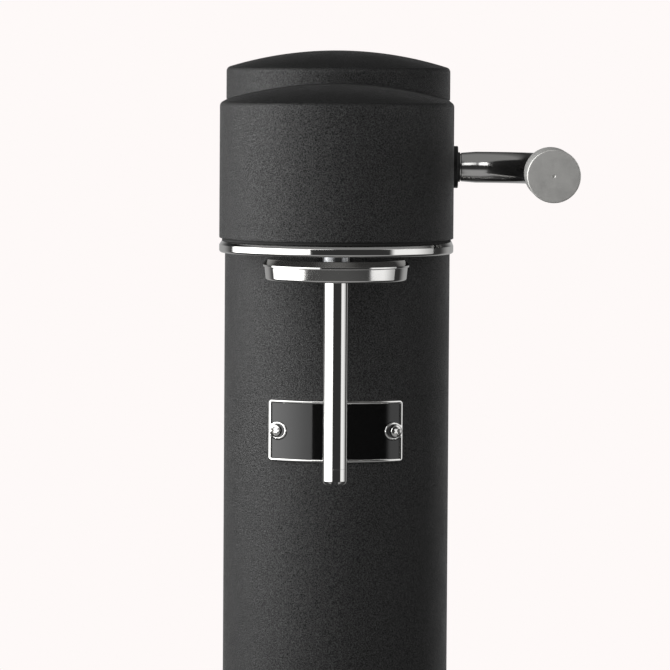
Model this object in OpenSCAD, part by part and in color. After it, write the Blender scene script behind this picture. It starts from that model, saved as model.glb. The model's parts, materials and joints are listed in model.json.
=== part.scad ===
// Lever-operated soda carbonator.
// A round column holds the gas cylinder.  A head in front of it carries the
// lever, the valve train and the bottle mount, and a flat base holds a drip tray.
// Frame: +Z up, the front faces -Y, the lever is on +X, and the origin is the
// centre of the footprint on the table.  Millimetres throughout.

/* [Overall] */
// Outer radius of the column and of the head's round front
body_r = 51.5; // [44:0.5:62]
// Distance between the column axis and the head axis
axis_gap = 98; // [90:1:118]
// Height of the column's crown above the table
total_h = 414; // [345:1:500]
// How far the head's crown lies below the column's crown
crown_step = 14.5; // [12:0.5:20]
// Rise of each domed top over its edge
dome_rise = 8; // [6:0.5:10]
// Height of the head's upright wall
head_wall_h = 59.5; // [57:0.5:72]
// Rounding of the domed edges
edge_r = 2.4; // [1:0.1:3.5]

/* [Shells] */
// Wall of the head housing
head_t = 2; // [1.2:0.1:3]
// Wall of the column tube
tube_t = 1.2; // [0.8:0.1:2]
// Wall of the column cap
cap_t = 1.5; // [1:0.1:2.5]
// How far the cap's wall is set in from the column's
cap_inset = 0.3; // [0.2:0.05:1]

/* [Base] */
// Thickness of the rubber foot mat
mat_t = 2.5; // [1.5:0.5:5]
// Height of the base shell
base_h = 13.5; // [12:0.5:20]
// Sheet thickness of the base shell
base_t = 1.5; // [1:0.1:2.5]
// Thickness of the moulded base floor
floor_t = 3; // [2:0.5:5]
// Width of the drip tray's rim
tray_rim = 1.7; // [1.2:0.1:6]
// Depth of the drip tray's dish
tray_depth = 8; // [5:0.5:9]
// Sheet thickness of the drip tray
tray_t = 1; // [0.8:0.1:1.5]
// Radius of the way in for the gas cylinder
gas_hole_r = 33; // [31.5:0.5:38]
// Depth of the ring that seats the column on the base
foot_ring_h = 12; // [8:0.5:20]

/* [Head underside] */
// Height of the polished ring under the head
ring_h = 5.1; // [4:0.1:8]
// Width of the polished ring's section
ring_w = 5.7; // [4:0.1:8]
// How far the polished ring stands proud of the head
ring_proud = 0; // [0:0.05:0.6]
// Height of the dark gap above the ring
gasket_h = 1.3; // [0.8:0.1:2]
// Thickness of the plate that closes the head
under_t = 2.2; // [1.5:0.1:2.6]
// Thickness of the chassis plate inside the head
chassis_t = 3; // [2:0.5:5]

/* [Badge] */
// Width of the badge, measured straight across
badge_w = 61; // [40:1:70]
// Height of the badge
badge_h = 27.8; // [18:0.2:34]
// Height of the badge's middle above the table
badge_z = 243; // [120:1:300]
// Thickness of the badge's field
badge_t = 1; // [0.6:0.1:2]
// Width of the badge's raised border
border_w = 1.4; // [1:0.1:2.5]
// Distance between the badge's two screws
badge_screw_gap = 52.6; // [32:0.2:62]
// Radius of a badge screw's head
badge_head_r = 2.9; // [2.2:0.1:3.5]

/* [Lever] */
// Depth of the lever axis below the column's crown
lever_drop = 51.2; // [48:0.2:56]
// Distance of the lever axis behind the head axis
lever_back = 30; // [28:0.5:34]
// Radius of the lever rod
rod_r = 6.9; // [5:0.1:8]
// How much thinner the rod is where it leaves the head
rod_neck = 0.5; // [0.2:0.1:1.5]
// Depth to which the rod is turned down inside the head
journal_cut = 0.4; // [0.2:0.1:1]
// Radius of the rod's bend
bend_r = 30; // [14:1:34]
// Distance of the grip's axis outside the head's side
grip_out = 40.2; // [32:0.1:50]
// Distance of the grip's face in front of the head axis
grip_front = 108.5; // [90:0.5:130]
// Length of the grip
grip_len = 45; // [38:1:80]
// Radius of the grip
grip_r = 11.3; // [9.5:0.1:15]
// How deep the rod reaches into the grip
grip_bore = 36; // [24:1:37]
// How far the black bush's flange reaches past its sleeve
bush_lip = 1.35; // [0.8:0.05:4]
// How far the black bush stands out of the head
bush_out = 2.3; // [1.5:0.1:4]
// How far the bush's collar stands out past its flange
collar_out = 0.9; // [0.5:0.1:2]
// Full travel of the lever in degrees
lever_travel = 42; // [30:1:50]

/* [Valve train] */
// Distance of the rocker's pivot in front of the column axis
rocker_front = 30; // [26:0.5:34]
// Depth of the rocker's pivot below the column's crown
rocker_drop = 31; // [30:0.5:33]
// Turn of the rocker at full lever travel, in degrees
rocker_travel = 3.9; // [2:0.1:4.5]
// Radius of the rocker's pin
pivot_r = 4; // [3:0.25:4.5]
// Width of the rocker
rocker_w = 12; // [8:0.5:14]
// Radius of the rocker's front nose
nose_r = 5; // [4:0.25:6]
// Width of the cam
cam_w = 10; // [8:0.5:11]
// Distance of each cheek plate from the middle
cheek_x = 16; // [15:0.5:18]
// Thickness of the cheek plates
cheek_t = 3; // [2:0.5:4]
// Radius of the valve receiver's body
receiver_r = 17; // [15:0.5:20]
// Width of the receiver's flange
flange_w = 9; // [8.5:0.5:11]
// Radius of the receiver's socket for the cylinder valve
socket_r = 10.7; // [10:0.1:12]
// Radius of the plunger's stem
plunger_r = 4; // [3:0.25:4.5]

/* [Gas cylinder] */
// Radius of the gas cylinder
cylinder_r = 30; // [25:0.5:30]
// Wall of the gas cylinder
cylinder_t = 2.5; // [2:0.1:4]
// Clearance between the cylinder's foot and the table
cylinder_foot = 5; // [3:0.5:10]
// Radius of the cylinder's neck
neck_r = 13; // [12:0.5:15]

/* [Bottle mount] */
// Radius of the disc's lip
disc_r = 32.25; // [28:0.25:36]
// Height of the disc from its foot to its lip
disc_h = 6.8; // [6.2:0.1:12]
// Height of the cone above the disc's lip
cone_h = 2.5; // [1:0.1:3]
// Gap between the head's ring and the disc's lip
disc_gap = 5.3; // [5.3:0.1:8]
// Depth of the bottle socket in the disc
socket_depth = 4.8; // [4.4:0.1:6]
// Radius of the bottle socket in the disc
bottle_r = 23; // [18:0.25:26]
// Radius of the nozzle tube
nozzle_r = 5.3; // [4:0.1:7]
// Length of the nozzle below the disc, tip included
nozzle_len = 90.9; // [60:0.1:120]
// Length of the nozzle's tip
tip_len = 7.5; // [5:0.5:12]
// Height of the tilt axis above the head's underside
tilt_up = 13; // [11:0.5:16]

/* [Clearances] */
// Radial clearance of pieces fixed in each other
fit = 0.03; // [0.02:0.01:0.08]
// Gap between faces that work against each other
gap = 0.3; // [0.2:0.05:0.5]

/* [Hidden] */
$fn = 96;

eps = 1;                                   // how far a cut runs past a face
slack = 0.2;                               // loose fit of plates inside shells
column_y = axis_gap / 2;
head_y = -axis_gap / 2;

// levels of the shells
base_top = mat_t + base_h;
tray_rim_r = axis_gap - body_r - gap;
tray_r = tray_rim_r - tray_rim;
head_edge = total_h - crown_step - dome_rise;
head_z = head_edge - head_wall_h;
ring_top = head_z - gasket_h;
ring_z = ring_top - ring_h;
under_z = ring_top - under_t;
chassis_top = head_z + chassis_t;
cap_r = body_r - cap_inset;
column_cut_r = body_r + 0.25;
leg_trim = 8;                              // the ring's legs stop this far before the column axis
ring_in_r = body_r + ring_proud - ring_w;
under_r = ring_in_r - slack;
gasket_in_r = ring_in_r - 2;
gasket_out_r = body_r - 1.2;

// column fittings
fitting_r = body_r - tube_t - fit;
foot_ring_in_r = gas_hole_r + 1;
collar_h = 18;
collar_in_r = fitting_r - 10;
guide_h = 12;
guide_z = base_top + foot_ring_h + 150;
foot_screw_pcr = (fitting_r + foot_ring_in_r) / 2;
collar_screw_pcr = (fitting_r + collar_in_r) / 2;
m4_r = 2;
m4_head_r = 3.4;
m4_head_h = 2.5;
m3_r = 1.5;
m3_head_r = 2.7;
m3_head_h = 1.6;
diagonals = [45, 135, 225, 315];

// valve train levels and places
neck_rod_r = rod_r - rod_neck;
journal_r = neck_rod_r - journal_cut;
flange_r = receiver_r + flange_w;
flange_h = 5;
lever_y = head_y + lever_back;
lever_z = total_h - lever_drop;
rocker_y = column_y - rocker_front;
rocker_z = total_h - rocker_drop;
rocker_dip = 3;                            // the front nose lies this far below the pivot
front_arm = rocker_y - lever_y;
plunger_drop = rocker_front * sin(rocker_travel);
plunger_head_r = 8;
plunger_head_h = 3;
plunger_top = rocker_z - 4;
rear_nose_r = rocker_z - plunger_top - gap;
spring_room = 8;
receiver_top = plunger_top - plunger_head_h - spring_room;
guide_len = 7;
chamber_h = 6;
chamber_r = 6;
chamber_z = receiver_top - guide_len - chamber_h;
seal_t = 2;
valve_top = chamber_z - seal_t - gap;
pin_proud = 1.8;                           // the valve pin stands out of the valve
tip_r = 2.5;
valve_pin_r = 2;
port_z = chamber_z + chamber_h / 2;
hose_r = 2.2;
hose_bore_r = 1.2;
spout_len = 5;
relief_plug_r = 3;
relief_len = 16;
relief_wall = 2;
relief_seat = 3;                           // depth of the relief valve's seat
relief_bore_r = 4.5;
poppet_t = 2;
poppet_stem_r = 1.7;
block_r = 22;
block_h = 3;
cheek_y0 = head_y + sqrt(block_r * block_r - cheek_x * cheek_x) + slack;
cheek_y1 = column_y - sqrt(flange_r * flange_r - cheek_x * cheek_x) - slack;
cheek_top = head_edge - 1.5;
cheek_foot_w = 8;
bush_r = journal_r + 2;
bush_flange_r = bush_r + bush_lip;
clip_x = cheek_x + cheek_t + 0.6;
clip_t = 1;
clip_groove = 1;
shaft_end = clip_x + 4.4;
bush_len = 5.5;                            // black bush's sleeve inside the head's wall
grip_x = body_r + grip_out;
grip_face = head_y - grip_front;
grip_screw_in = 10;                        // the grip's screw lies this far from its rear end
spring_wire = 1;
cam_base_r = rocker_z - rocker_dip - lever_z - nose_r - gap;

// gas cylinder levels
thread_r = socket_r - 0.2;
hex_h = 8;
hex_z = chassis_top - 1 - hex_h;
shoulder_z = hex_z - 2 - cylinder_r * sin(60);
neck_bore_r = 9;
plug_len = 12;

// bottle mount levels
lip_z = ring_z - disc_gap;
disc_z = lip_z - disc_h;
disc_top = lip_z + cone_h;
disc_roof_z = disc_z + socket_depth;
lip_h = 0.9;
disc_taper = 1.2;
stem_r = 6;
spigot_r = 3.5;
tilt_z = head_z + tilt_up;
nozzle_bore_r = 2.5;
nozzle_tip_z = disc_z - nozzle_len;
block_hole_r = 15;
ear_x = 10;
ear_t = 4;
ear_r = 8;

// ---- shared shapes -------------------------------------------------------

// upright tube
module ring(r_out, r_in, h) {
    difference() {
        cylinder(r = r_out, h = h);
        translate([0, 0, -eps]) cylinder(r = r_in, h = h + 2 * eps);
    }
}

// solid cylinder along +X from x = x0
module rod_x(r, x0, len) {
    translate([x0, 0, 0]) rotate([0, 90, 0]) cylinder(r = r, h = len);
}

// tube along +X from x = x0
module ring_x(r_out, r_in, x0, len) {
    translate([x0, 0, 0]) rotate([0, 90, 0]) ring(r_out, r_in, len);
}

// half of an upright disc, on the +Y side
module half_disc(r, h) {
    rotate_extrude(angle = 180) square([r, h]);
}

// plate with round ends about the two main axes
module stadium(r, z0, h) {
    translate([0, head_y, z0]) rotate([0, 0, 180]) half_disc(r, h);
    translate([0, column_y, z0]) half_disc(r, h);
    translate([-r, head_y, z0]) cube([2 * r, axis_gap, h]);
}

// round hole or post through z0 to z0 + h at the column axis
module column_bar(r, z0, h) {
    translate([0, column_y, z0]) cylinder(r = r, h = h);
}

module head_bar(r, z0, h) {
    translate([0, head_y, z0]) cylinder(r = r, h = h);
}

// places its children on the four diagonals round the column axis
module on_diagonals(pcr) {
    translate([0, column_y, 0])
        for (a = diagonals) rotate([0, 0, a]) translate([pcr, 0, 0]) children();
}

// screw pointing up: head at z0, shank above it
module screw_up(r, head_r, head_h, z0, len) {
    translate([0, 0, z0]) cylinder(r = head_r, h = head_h);
    translate([0, 0, z0 + head_h - 0.01]) cylinder(r = r, h = len);
}

// screw pointing down: head on z1, shank below it
module screw_down(r, head_r, head_h, z1, len) {
    difference() {
        translate([0, 0, z1]) cylinder(r = head_r, h = head_h);
        translate([0, 0, z1 + head_h / 2]) cylinder(r = head_r / 2, h = head_h, $fn = 6);
    }
    translate([0, 0, z1 - len]) cylinder(r = r, h = len + 0.01);
}

// radius of the sphere that rises by dome_rise over radius r
function dome_s(r) = (r * r + dome_rise * dome_rise) / (2 * dome_rise);

// rounded shoulder of a domed profile, from the wall upwards
function shoulder(r, zc, s, f) =
    let (zf = zc + sqrt((s - f) * (s - f) - (r - f) * (r - f)))
    [for (a = [0 : 12 : 60]) [r - f + f * cos(a), zf + f * sin(a)]];

// half profile of a domed body: wall radius r, foot z0, edge level z_edge
function dome_half(r, z0, z_edge) =
    let (s = dome_s(r), sh = shoulder(r, z_edge + dome_rise - s, s, edge_r), last = sh[len(sh) - 1])
    concat([[0, z0], [r, z0]], sh, [[0, last[1] + last[0] * tan(30)]]);

function mirrored(points) = [for (p = points) [-p[0], p[1]]];
function backwards(points) = [for (i = [len(points) - 1 : -1 : 0]) points[i]];

// domed profile, half of it or the full width
module dome_profile(r, z0, z_edge, full) {
    half = dome_half(r, z0, z_edge);
    s = dome_s(r);
    intersection() {
        if (full) {
            polygon(concat(half, backwards(mirrored([for (i = [1 : len(half) - 2]) half[i]]))));
        } else {
            polygon(half);
        }
        translate([0, z_edge + dome_rise - s]) circle(r = s, $fn = 360);
    }
}

// the head's outer form: domed front half, arched straight part, plain back half
module head_form(r, z0, z_edge) {
    translate([0, head_y, 0]) rotate([0, 0, 180])
        rotate_extrude(angle = 180) dome_profile(r, z0, z_edge, false);
    translate([0, column_y, 0]) rotate([90, 0, 0])
        linear_extrude(height = axis_gap) dome_profile(r, z0, z_edge, true);
    translate([0, column_y, z0]) half_disc(r, z_edge - z0);
}

function unit(v) = v / norm(v);

// round bar of radius r swept along a path; ref is never parallel to the path
module sweep(path, r, sides, ref) {
    n = len(path);
    points = [
        for (i = [0 : n - 1])
            let (t = unit(path[min(i + 1, n - 1)] - path[max(i - 1, 0)]))
                let (s = unit(cross(t, ref)), u = cross(s, t))
                for (k = [0 : sides - 1])
                    path[i] + r * (cos(360 * k / sides) * s + sin(360 * k / sides) * u)
    ];
    walls = [
        for (i = [0 : n - 2], k = [0 : sides - 1])
            let (a = i * sides + k, b = i * sides + (k + 1) % sides)
                each [[a, b, b + sides], [a, b + sides, a + sides]]
    ];
    first = [for (k = [sides - 1 : -1 : 0]) k];
    last = [for (k = [0 : sides - 1]) (n - 1) * sides + k];
    polyhedron(points, concat([first], walls, [last]));
}

// coil spring along +Z from z = 0: mean radius, wire radius, height between wire centres
module coil(mean_r, wire_r, height, turns) {
    steps = 16 * turns;
    path = [for (i = [0 : steps]) [mean_r * cos(22.5 * i), mean_r * sin(22.5 * i), height * i / steps]];
    sweep(path, wire_r, 6, [0, 0, 1]);
}

// ---- base ----------------------------------------------------------------

module foot_mat() {
    color("#1b1b1b") difference() {
        stadium(body_r - 2, 0, mat_t);
        column_bar(gas_hole_r + 0.5, -eps, mat_t + 2 * eps);
    }
}

module base_floor() {
    post_h = base_h - base_t;
    color("#2a2a2a") difference() {
        union() {
            stadium(body_r - base_t - slack, mat_t, floor_t);
            on_diagonals(foot_screw_pcr) translate([0, 0, mat_t]) cylinder(r = 5, h = post_h);
        }
        column_bar(gas_hole_r, mat_t - eps, floor_t + 2 * eps);
        on_diagonals(foot_screw_pcr) {
            translate([0, 0, mat_t - eps]) cylinder(r = m4_r + slack, h = post_h + 2 * eps);
            translate([0, 0, mat_t - eps]) cylinder(r = m4_head_r + slack, h = m4_head_h + slack + eps);
        }
    }
}

module base_shell() {
    color("#222222") difference() {
        stadium(body_r, mat_t, base_h);
        stadium(body_r - base_t, mat_t - eps, base_h - base_t + eps);
        head_bar(tray_r + 0.5, mat_t, base_h + eps);
        column_bar(gas_hole_r, mat_t, base_h + eps);
        on_diagonals(foot_screw_pcr) translate([0, 0, mat_t])
            cylinder(r = m4_r + slack, h = base_h + eps);
    }
}

module base_screws() {
    color("silver")
        on_diagonals(foot_screw_pcr)
            screw_up(m4_r, m4_head_r, m4_head_h, mat_t + slack / 2, base_h - m4_head_h + foot_ring_h - 3);
}

module drip_tray() {
    dish_z = base_top + tray_t - tray_depth;
    rib_h = 1.5;
    rib_w = 2;
    rib_reach = tray_r - tray_t - 8;
    color("silver") translate([0, head_y, 0]) {
        difference() {
            union() {
                translate([0, 0, dish_z]) cylinder(r = tray_r, h = tray_depth);
                translate([0, 0, base_top]) cylinder(r = tray_rim_r, h = tray_t);
            }
            translate([0, 0, dish_z + tray_t]) cylinder(r = tray_r - tray_t, h = tray_depth);
        }
        for (x = [-18, 0, 18]) {
            half_len = sqrt(rib_reach * rib_reach - x * x);
            translate([x - rib_w / 2, -half_len, dish_z + tray_t - 0.01]) cube([rib_w, 2 * half_len, rib_h]);
        }
    }
}

// ---- column --------------------------------------------------------------

module column_foot_ring() {
    color("#2a2a2a") difference() {
        translate([0, column_y, base_top]) ring(fitting_r, foot_ring_in_r, foot_ring_h);
        on_diagonals(foot_screw_pcr)
            translate([0, 0, base_top - eps]) cylinder(r = m4_r + fit, h = foot_ring_h - 1 + eps);
    }
}

module column_tube() {
    color("#262626") difference() {
        translate([0, column_y, base_top]) ring(body_r, body_r - tube_t, head_z - base_top);
        badge_screw_places() cylinder(r = m3_r + fit, h = 8, center = true);
    }
}

module cylinder_guide_ring() {
    color("#2a2a2a") translate([0, column_y, guide_z])
        ring(fitting_r, cylinder_r + 1, guide_h);
}

module column_collar() {
    color("#9aa0a4") difference() {
        translate([0, column_y, head_z - collar_h]) ring(fitting_r, collar_in_r, collar_h);
        on_diagonals(collar_screw_pcr)
            translate([0, 0, head_z - collar_h + 3]) cylinder(r = m4_r + fit, h = collar_h);
    }
}

// ---- badge ---------------------------------------------------------------

// moves children to the column's front surface at each badge screw, +Z pointing outwards
module badge_screw_places() {
    turn = asin(badge_screw_gap / 2 / body_r);
    for (side = [-1, 1])
        translate([0, column_y, badge_z]) rotate([0, 0, side * turn]) translate([0, -body_r, 0])
            rotate([90, 0, 0]) children();
}

// rectangle with rounded corners, centred
module soft_rect(w, h, r) {
    polygon([
        for (q = [0 : 3], a = [0 : 15 : 90])
            let (sx = (q == 0 || q == 3) ? 1 : -1, sy = q < 2 ? 1 : -1)
                [sx * (w / 2 - r) + r * cos(90 * q + a), sy * (h / 2 - r) + r * sin(90 * q + a)]
    ]);
}

// part of a curved sheet on the column's front, bounded by an outline
module curved_patch(r_out, w, h, corner) {
    intersection() {
        translate([0, column_y, badge_z - h]) ring(r_out, body_r, 2 * h);
        translate([0, column_y, badge_z]) rotate([90, 0, 0])
            linear_extrude(height = 2 * body_r) soft_rect(w, h, corner);
    }
}

module badge_plate() {
    border_up = 0.5;
    field_w = badge_w - 2 * border_w;
    field_h = badge_h - 2 * border_w;
    color("silver") difference() {
        union() {
            curved_patch(body_r + badge_t, badge_w, badge_h, 1.5);
            difference() {
                curved_patch(body_r + badge_t + border_up, badge_w, badge_h, 1.5);
                translate([0, column_y, badge_z]) rotate([90, 0, 0])
                    linear_extrude(height = 2 * body_r) soft_rect(field_w, field_h, 1);
            }
            badge_screw_places() cylinder(r = badge_head_r + 0.9, h = badge_t + border_up);
        }
        badge_screw_places() cylinder(r = m3_r + slack, h = 10, center = true);
        column_bar(body_r, badge_z - badge_h, 2 * badge_h);
    }
}

module badge_screws() {
    seat = badge_t + 0.5;
    color("silver") badge_screw_places() {
        difference() {
            union() {
                translate([0, 0, seat]) cylinder(r = badge_head_r, h = 1);
                translate([0, 0, seat + 0.99]) cylinder(r1 = badge_head_r, r2 = badge_head_r - 0.8, h = 0.6);
            }
            translate([0, 0, seat + 0.6]) cylinder(r = 1.1, h = 2, $fn = 6);
            translate([0, 0, seat + 0.6]) rotate([0, 0, 30]) cylinder(r = 1.1, h = 2, $fn = 6);
        }
        translate([0, 0, -4]) cylinder(r = m3_r, h = 4 + seat + 0.01);
    }
}

// ---- head shells ---------------------------------------------------------

module head_housing() {
    inner_r = body_r - head_t;
    color("#262626") difference() {
        head_form(body_r, head_z, head_edge);
        head_form(inner_r, head_z - eps, head_edge - head_t);
        column_bar(cap_r + 0.05, head_edge, 2 * dome_rise);
        column_bar(inner_r, head_edge - 4 * head_t, 4 * dome_rise);
        translate([0, lever_y, lever_z]) rod_x(bush_r + fit, inner_r - 5, 10);
    }
}

module top_cap() {
    color("#262626") translate([0, column_y, 0]) rotate_extrude() difference() {
        dome_profile(cap_r, head_edge, total_h - dome_rise, false);
        translate([0, -cap_t]) dome_profile(cap_r - cap_t, head_edge - eps, total_h - dome_rise, false);
    }
}

module cap_ring() {
    ring_r = min(body_r - head_t, cap_r - cap_t) - slack;
    color("#2a2a2a") translate([0, column_y, cheek_top + gap])
        ring(ring_r, ring_r - 3, 8);
}

// section of the polished ring, from its inner face outwards
function ring_section() =
    let (ro = body_r + ring_proud)
    [[ring_in_r, ring_z], [ro - 1, ring_z], [ro - 0.3, ring_z + 0.3], [ro, ring_z + 1],
     [ro, ring_top - 1.7], [ro - 1.3, ring_top], [ring_in_r, ring_top]];

module u_band(points) {
    difference() {
        union() {
            translate([0, head_y, 0]) rotate([0, 0, 180]) rotate_extrude(angle = 180) polygon(points);
            translate([0, column_y - leg_trim, 0]) rotate([90, 0, 0])
                linear_extrude(height = axis_gap - leg_trim) {
                    polygon(points);
                    polygon(mirrored(points));
                }
        }
        column_bar(column_cut_r, ring_z - eps, head_z - ring_z + 2 * eps);
    }
}

module head_ring() {
    color("silver") u_band(ring_section());
}

module ring_gasket() {
    color("#101010") u_band([
        [gasket_in_r, ring_top], [gasket_out_r, ring_top], [gasket_out_r, head_z], [gasket_in_r, head_z]
    ]);
}

// places its children at the underplate's screws
module underplate_places() {
    for (a = [205, 270, 335])
        translate([0, head_y, 0]) rotate([0, 0, a]) translate([gasket_in_r - 4, 0, 0]) children();
}

module head_underplate() {
    color("#202020") difference() {
        stadium(under_r, under_z, under_t);
        column_bar(column_cut_r, under_z - eps, under_t + 2 * eps);
        translate([-body_r, column_y - leg_trim, under_z - eps])
            cube([2 * body_r, 2 * body_r, under_t + 2 * eps]);
        head_bar(stem_r + 8, under_z - eps, under_t + 2 * eps);
        underplate_places() translate([0, 0, under_z - eps])
            cylinder(r = m3_r + slack, h = under_t + 2 * eps);
    }
}

module underplate_screws() {
    color("silver") underplate_places()
        screw_up(m3_r, m3_head_r, m3_head_h, under_z - m3_head_h, chassis_top - under_z);
}

// ---- chassis -------------------------------------------------------------

// places its children at each cheek's foot screws; side is -1 or 1
module cheek_places(side) {
    for (y = [cheek_y0 + 5, rocker_y - 11])
        translate([side * (cheek_x + cheek_t + cheek_foot_w / 2), y, 0]) children();
}

module receiver_places() {
    translate([0, column_y, 0])
        for (a = [90, 210, 330]) rotate([0, 0, a]) translate([flange_r - 4.4, 0, 0]) children();
}

module block_places() {
    for (side = [-1, 1]) translate([0, head_y + side * (block_hole_r + block_r) / 2, 0]) children();
}

module chassis_plate() {
    color("#9aa0a4") difference() {
        stadium(body_r - head_t - slack, head_z, chassis_t);
        column_bar(neck_r + 4, head_z - eps, chassis_t + 2 * eps);
        head_bar(block_hole_r, head_z - eps, chassis_t + 2 * eps);
        translate([0, 0, head_z - eps]) {
            on_diagonals(collar_screw_pcr) cylinder(r = m4_r + slack, h = chassis_t + 2 * eps);
            for (side = [-1, 1]) cheek_places(side) cylinder(r = m4_r + fit, h = chassis_t + 2 * eps);
            receiver_places() cylinder(r = m4_r + fit, h = chassis_t + 2 * eps);
            block_places() cylinder(r = m3_r + fit, h = chassis_t + 2 * eps);
            underplate_places() cylinder(r = m3_r + fit, h = chassis_t + 2 * eps);
        }
    }
}

module collar_screws() {
    color("silver") on_diagonals(collar_screw_pcr)
        screw_down(m4_r, m4_head_r, m4_head_h, chassis_top, 14);
}

// upright plate that carries the lever shaft and the rocker's pin
module cheek(side) {
    foot_x = side > 0 ? cheek_x + cheek_t : -cheek_x - cheek_t - cheek_foot_w;
    plate_x = side > 0 ? cheek_x : -cheek_x - cheek_t;
    difference() {
        union() {
            translate([plate_x, 0, 0]) rotate([90, 0, 90]) linear_extrude(height = cheek_t)
                polygon([
                    [cheek_y0, chassis_top], [cheek_y1, chassis_top], [cheek_y1, cheek_top],
                    [rocker_y - 12, cheek_top], [cheek_y0, lever_z + 14]
                ]);
            translate([foot_x, cheek_y0, chassis_top]) cube([cheek_foot_w, rocker_y - 5 - cheek_y0, cheek_t]);
        }
        translate([0, lever_y, lever_z]) rod_x(bush_r + fit, plate_x - eps, cheek_t + 2 * eps);
        translate([0, rocker_y, rocker_z]) rod_x(pivot_r + fit, plate_x - eps, cheek_t + 2 * eps);
        cheek_places(side) translate([0, 0, chassis_top - eps])
            cylinder(r = m4_r + slack, h = cheek_t + 2 * eps);
    }
}

module left_cheek() {
    color("#9aa0a4") cheek(-1);
}

module right_cheek() {
    color("#9aa0a4") cheek(1);
}

module cheek_screws() {
    color("silver") for (side = [-1, 1]) cheek_places(side)
        screw_down(m4_r, m4_head_r, m4_head_h, chassis_top + cheek_t, cheek_t + chassis_t - 0.5);
}

// ---- lever ---------------------------------------------------------------

module lever_rod() {
    outer_x = body_r + bush_out + collar_out + gap;
    bend_x = grip_x - bend_r;
    bend_y = lever_y - bend_r;
    rod_end = grip_face + grip_len - grip_bore + 0.5;
    color("silver") difference() {
        union() {
            translate([0, lever_y, lever_z]) {
                rod_x(journal_r, -shaft_end, shaft_end + outer_x + 0.01);
                translate([outer_x, 0, 0]) rotate([0, 90, 0])
                    cylinder(r1 = neck_rod_r, r2 = rod_r, h = bend_x - outer_x);
            }
            translate([bend_x, bend_y, lever_z]) rotate_extrude(angle = 90)
                translate([bend_r, 0]) circle(r = rod_r);
            translate([grip_x, bend_y, lever_z]) rotate([90, 0, 0]) cylinder(r = rod_r, h = bend_y - rod_end);
        }
        translate([0, lever_y, lever_z]) {
            ring_x(journal_r + 1, journal_r - clip_groove, -clip_x - clip_t - 0.1, clip_t + 0.2);
            cam_pin_hole();
        }
    }
}

module lever_grip() {
    rim = 0.5;
    color("#c9c9c9") translate([grip_x, grip_face, lever_z]) rotate([-90, 0, 0]) difference() {
        union() {
            cylinder(r1 = grip_r - rim, r2 = grip_r, h = rim);
            translate([0, 0, rim]) cylinder(r = grip_r, h = grip_len - 2 * rim);
            translate([0, 0, grip_len - rim]) cylinder(r1 = grip_r, r2 = grip_r - rim, h = rim);
        }
        translate([0, 0, -eps]) cylinder(r = 0.6, h = eps + 0.4);
        translate([0, 0, grip_len - grip_bore]) cylinder(r = rod_r + fit, h = grip_bore + eps);
        translate([0, 0, grip_len - grip_screw_in]) rotate([-90, 0, 0])
            cylinder(r = m4_r + fit, h = grip_r + eps);
    }
}

module grip_screw() {
    screw_y = grip_face + grip_len - grip_screw_in;
    color("#3a3a3a") translate([grip_x, screw_y, lever_z - grip_r + 0.4]) difference() {
        cylinder(r = m4_r, h = grip_r - rod_r - 0.5);
        translate([0, 0, -eps]) cylinder(r = 1, h = 2 + eps, $fn = 6);
    }
}

// centre of the rocker's front nose about the lever axis, with the lever turned by a
function nose_at(a) =
    let (b = a * rocker_travel / lever_travel)
    [front_arm - front_arm * cos(b) - rocker_dip * sin(b),
     rocker_z - lever_z + front_arm * sin(b) - rocker_dip * cos(b)];

// the same point as the turning cam sees it
function nose_on_cam(a) =
    let (p = nose_at(a))
    [p[0] * cos(a) + p[1] * sin(a), -p[0] * sin(a) + p[1] * cos(a)];

// point of the cam's face that follows the nose at angle a
function cam_point(a) =
    let (t = unit(nose_on_cam(a + 0.5) - nose_on_cam(a - 0.5)))
    nose_on_cam(a) + (nose_r + gap) * [t[1], -t[0]];

module cam_pin_hole() {
    rotate([90, 0, 0]) cylinder(r = m3_r + fit, h = 3 * cam_base_r, center = true);
}

module lever_cam() {
    flank = [for (a = [0 : 3 : lever_travel + 3]) cam_point(a)];
    back = [for (a = [20 : -10 : -260]) cam_base_r * [cos(a), sin(a)]];
    color("#8a8f93") translate([0, lever_y, lever_z]) difference() {
        rotate([90, 0, 90]) linear_extrude(height = cam_w, center = true) polygon(concat(flank, back));
        rod_x(journal_r + fit, -cam_w, 2 * cam_w);
        cam_pin_hole();
    }
}

module cam_pin() {
    color("#3a3a3a") translate([0, lever_y, lever_z]) rotate([90, 0, 0])
        cylinder(r = m3_r, h = 2 * cam_base_r - 2, center = true);
}

module shaft_clip() {
    color("#3a3a3a") translate([0, lever_y, lever_z]) difference() {
        ring_x(journal_r + 2.5, journal_r - clip_groove + fit, -clip_x - clip_t, clip_t);
        translate([-clip_x - clip_t - eps, -2.5, -journal_r - 4]) cube([clip_t + 2 * eps, 5, journal_r + 4]);
    }
}

module outer_bush() {
    color("#141414") translate([0, lever_y, lever_z]) difference() {
        union() {
            rod_x(bush_r, body_r - head_t - bush_len, bush_len + head_t + 0.01);
            rod_x(bush_flange_r, body_r, bush_out - 0.4);
            translate([body_r + bush_out - 0.4, 0, 0]) rotate([0, 90, 0])
                cylinder(r1 = bush_flange_r, r2 = bush_flange_r - 0.4, h = 0.4);
            rod_x(neck_rod_r + 0.2, body_r + bush_out - 0.01, collar_out + 0.01);
        }
        rod_x(journal_r + fit, body_r - head_t - bush_len - eps, bush_len + head_t + 10);
    }
}

module bush_nut() {
    color("#2a2a2a") translate([0, lever_y, lever_z])
        ring_x(bush_r + 4, bush_r + fit, body_r - head_t - bush_len + 0.5, bush_len - 0.5);
}

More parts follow.
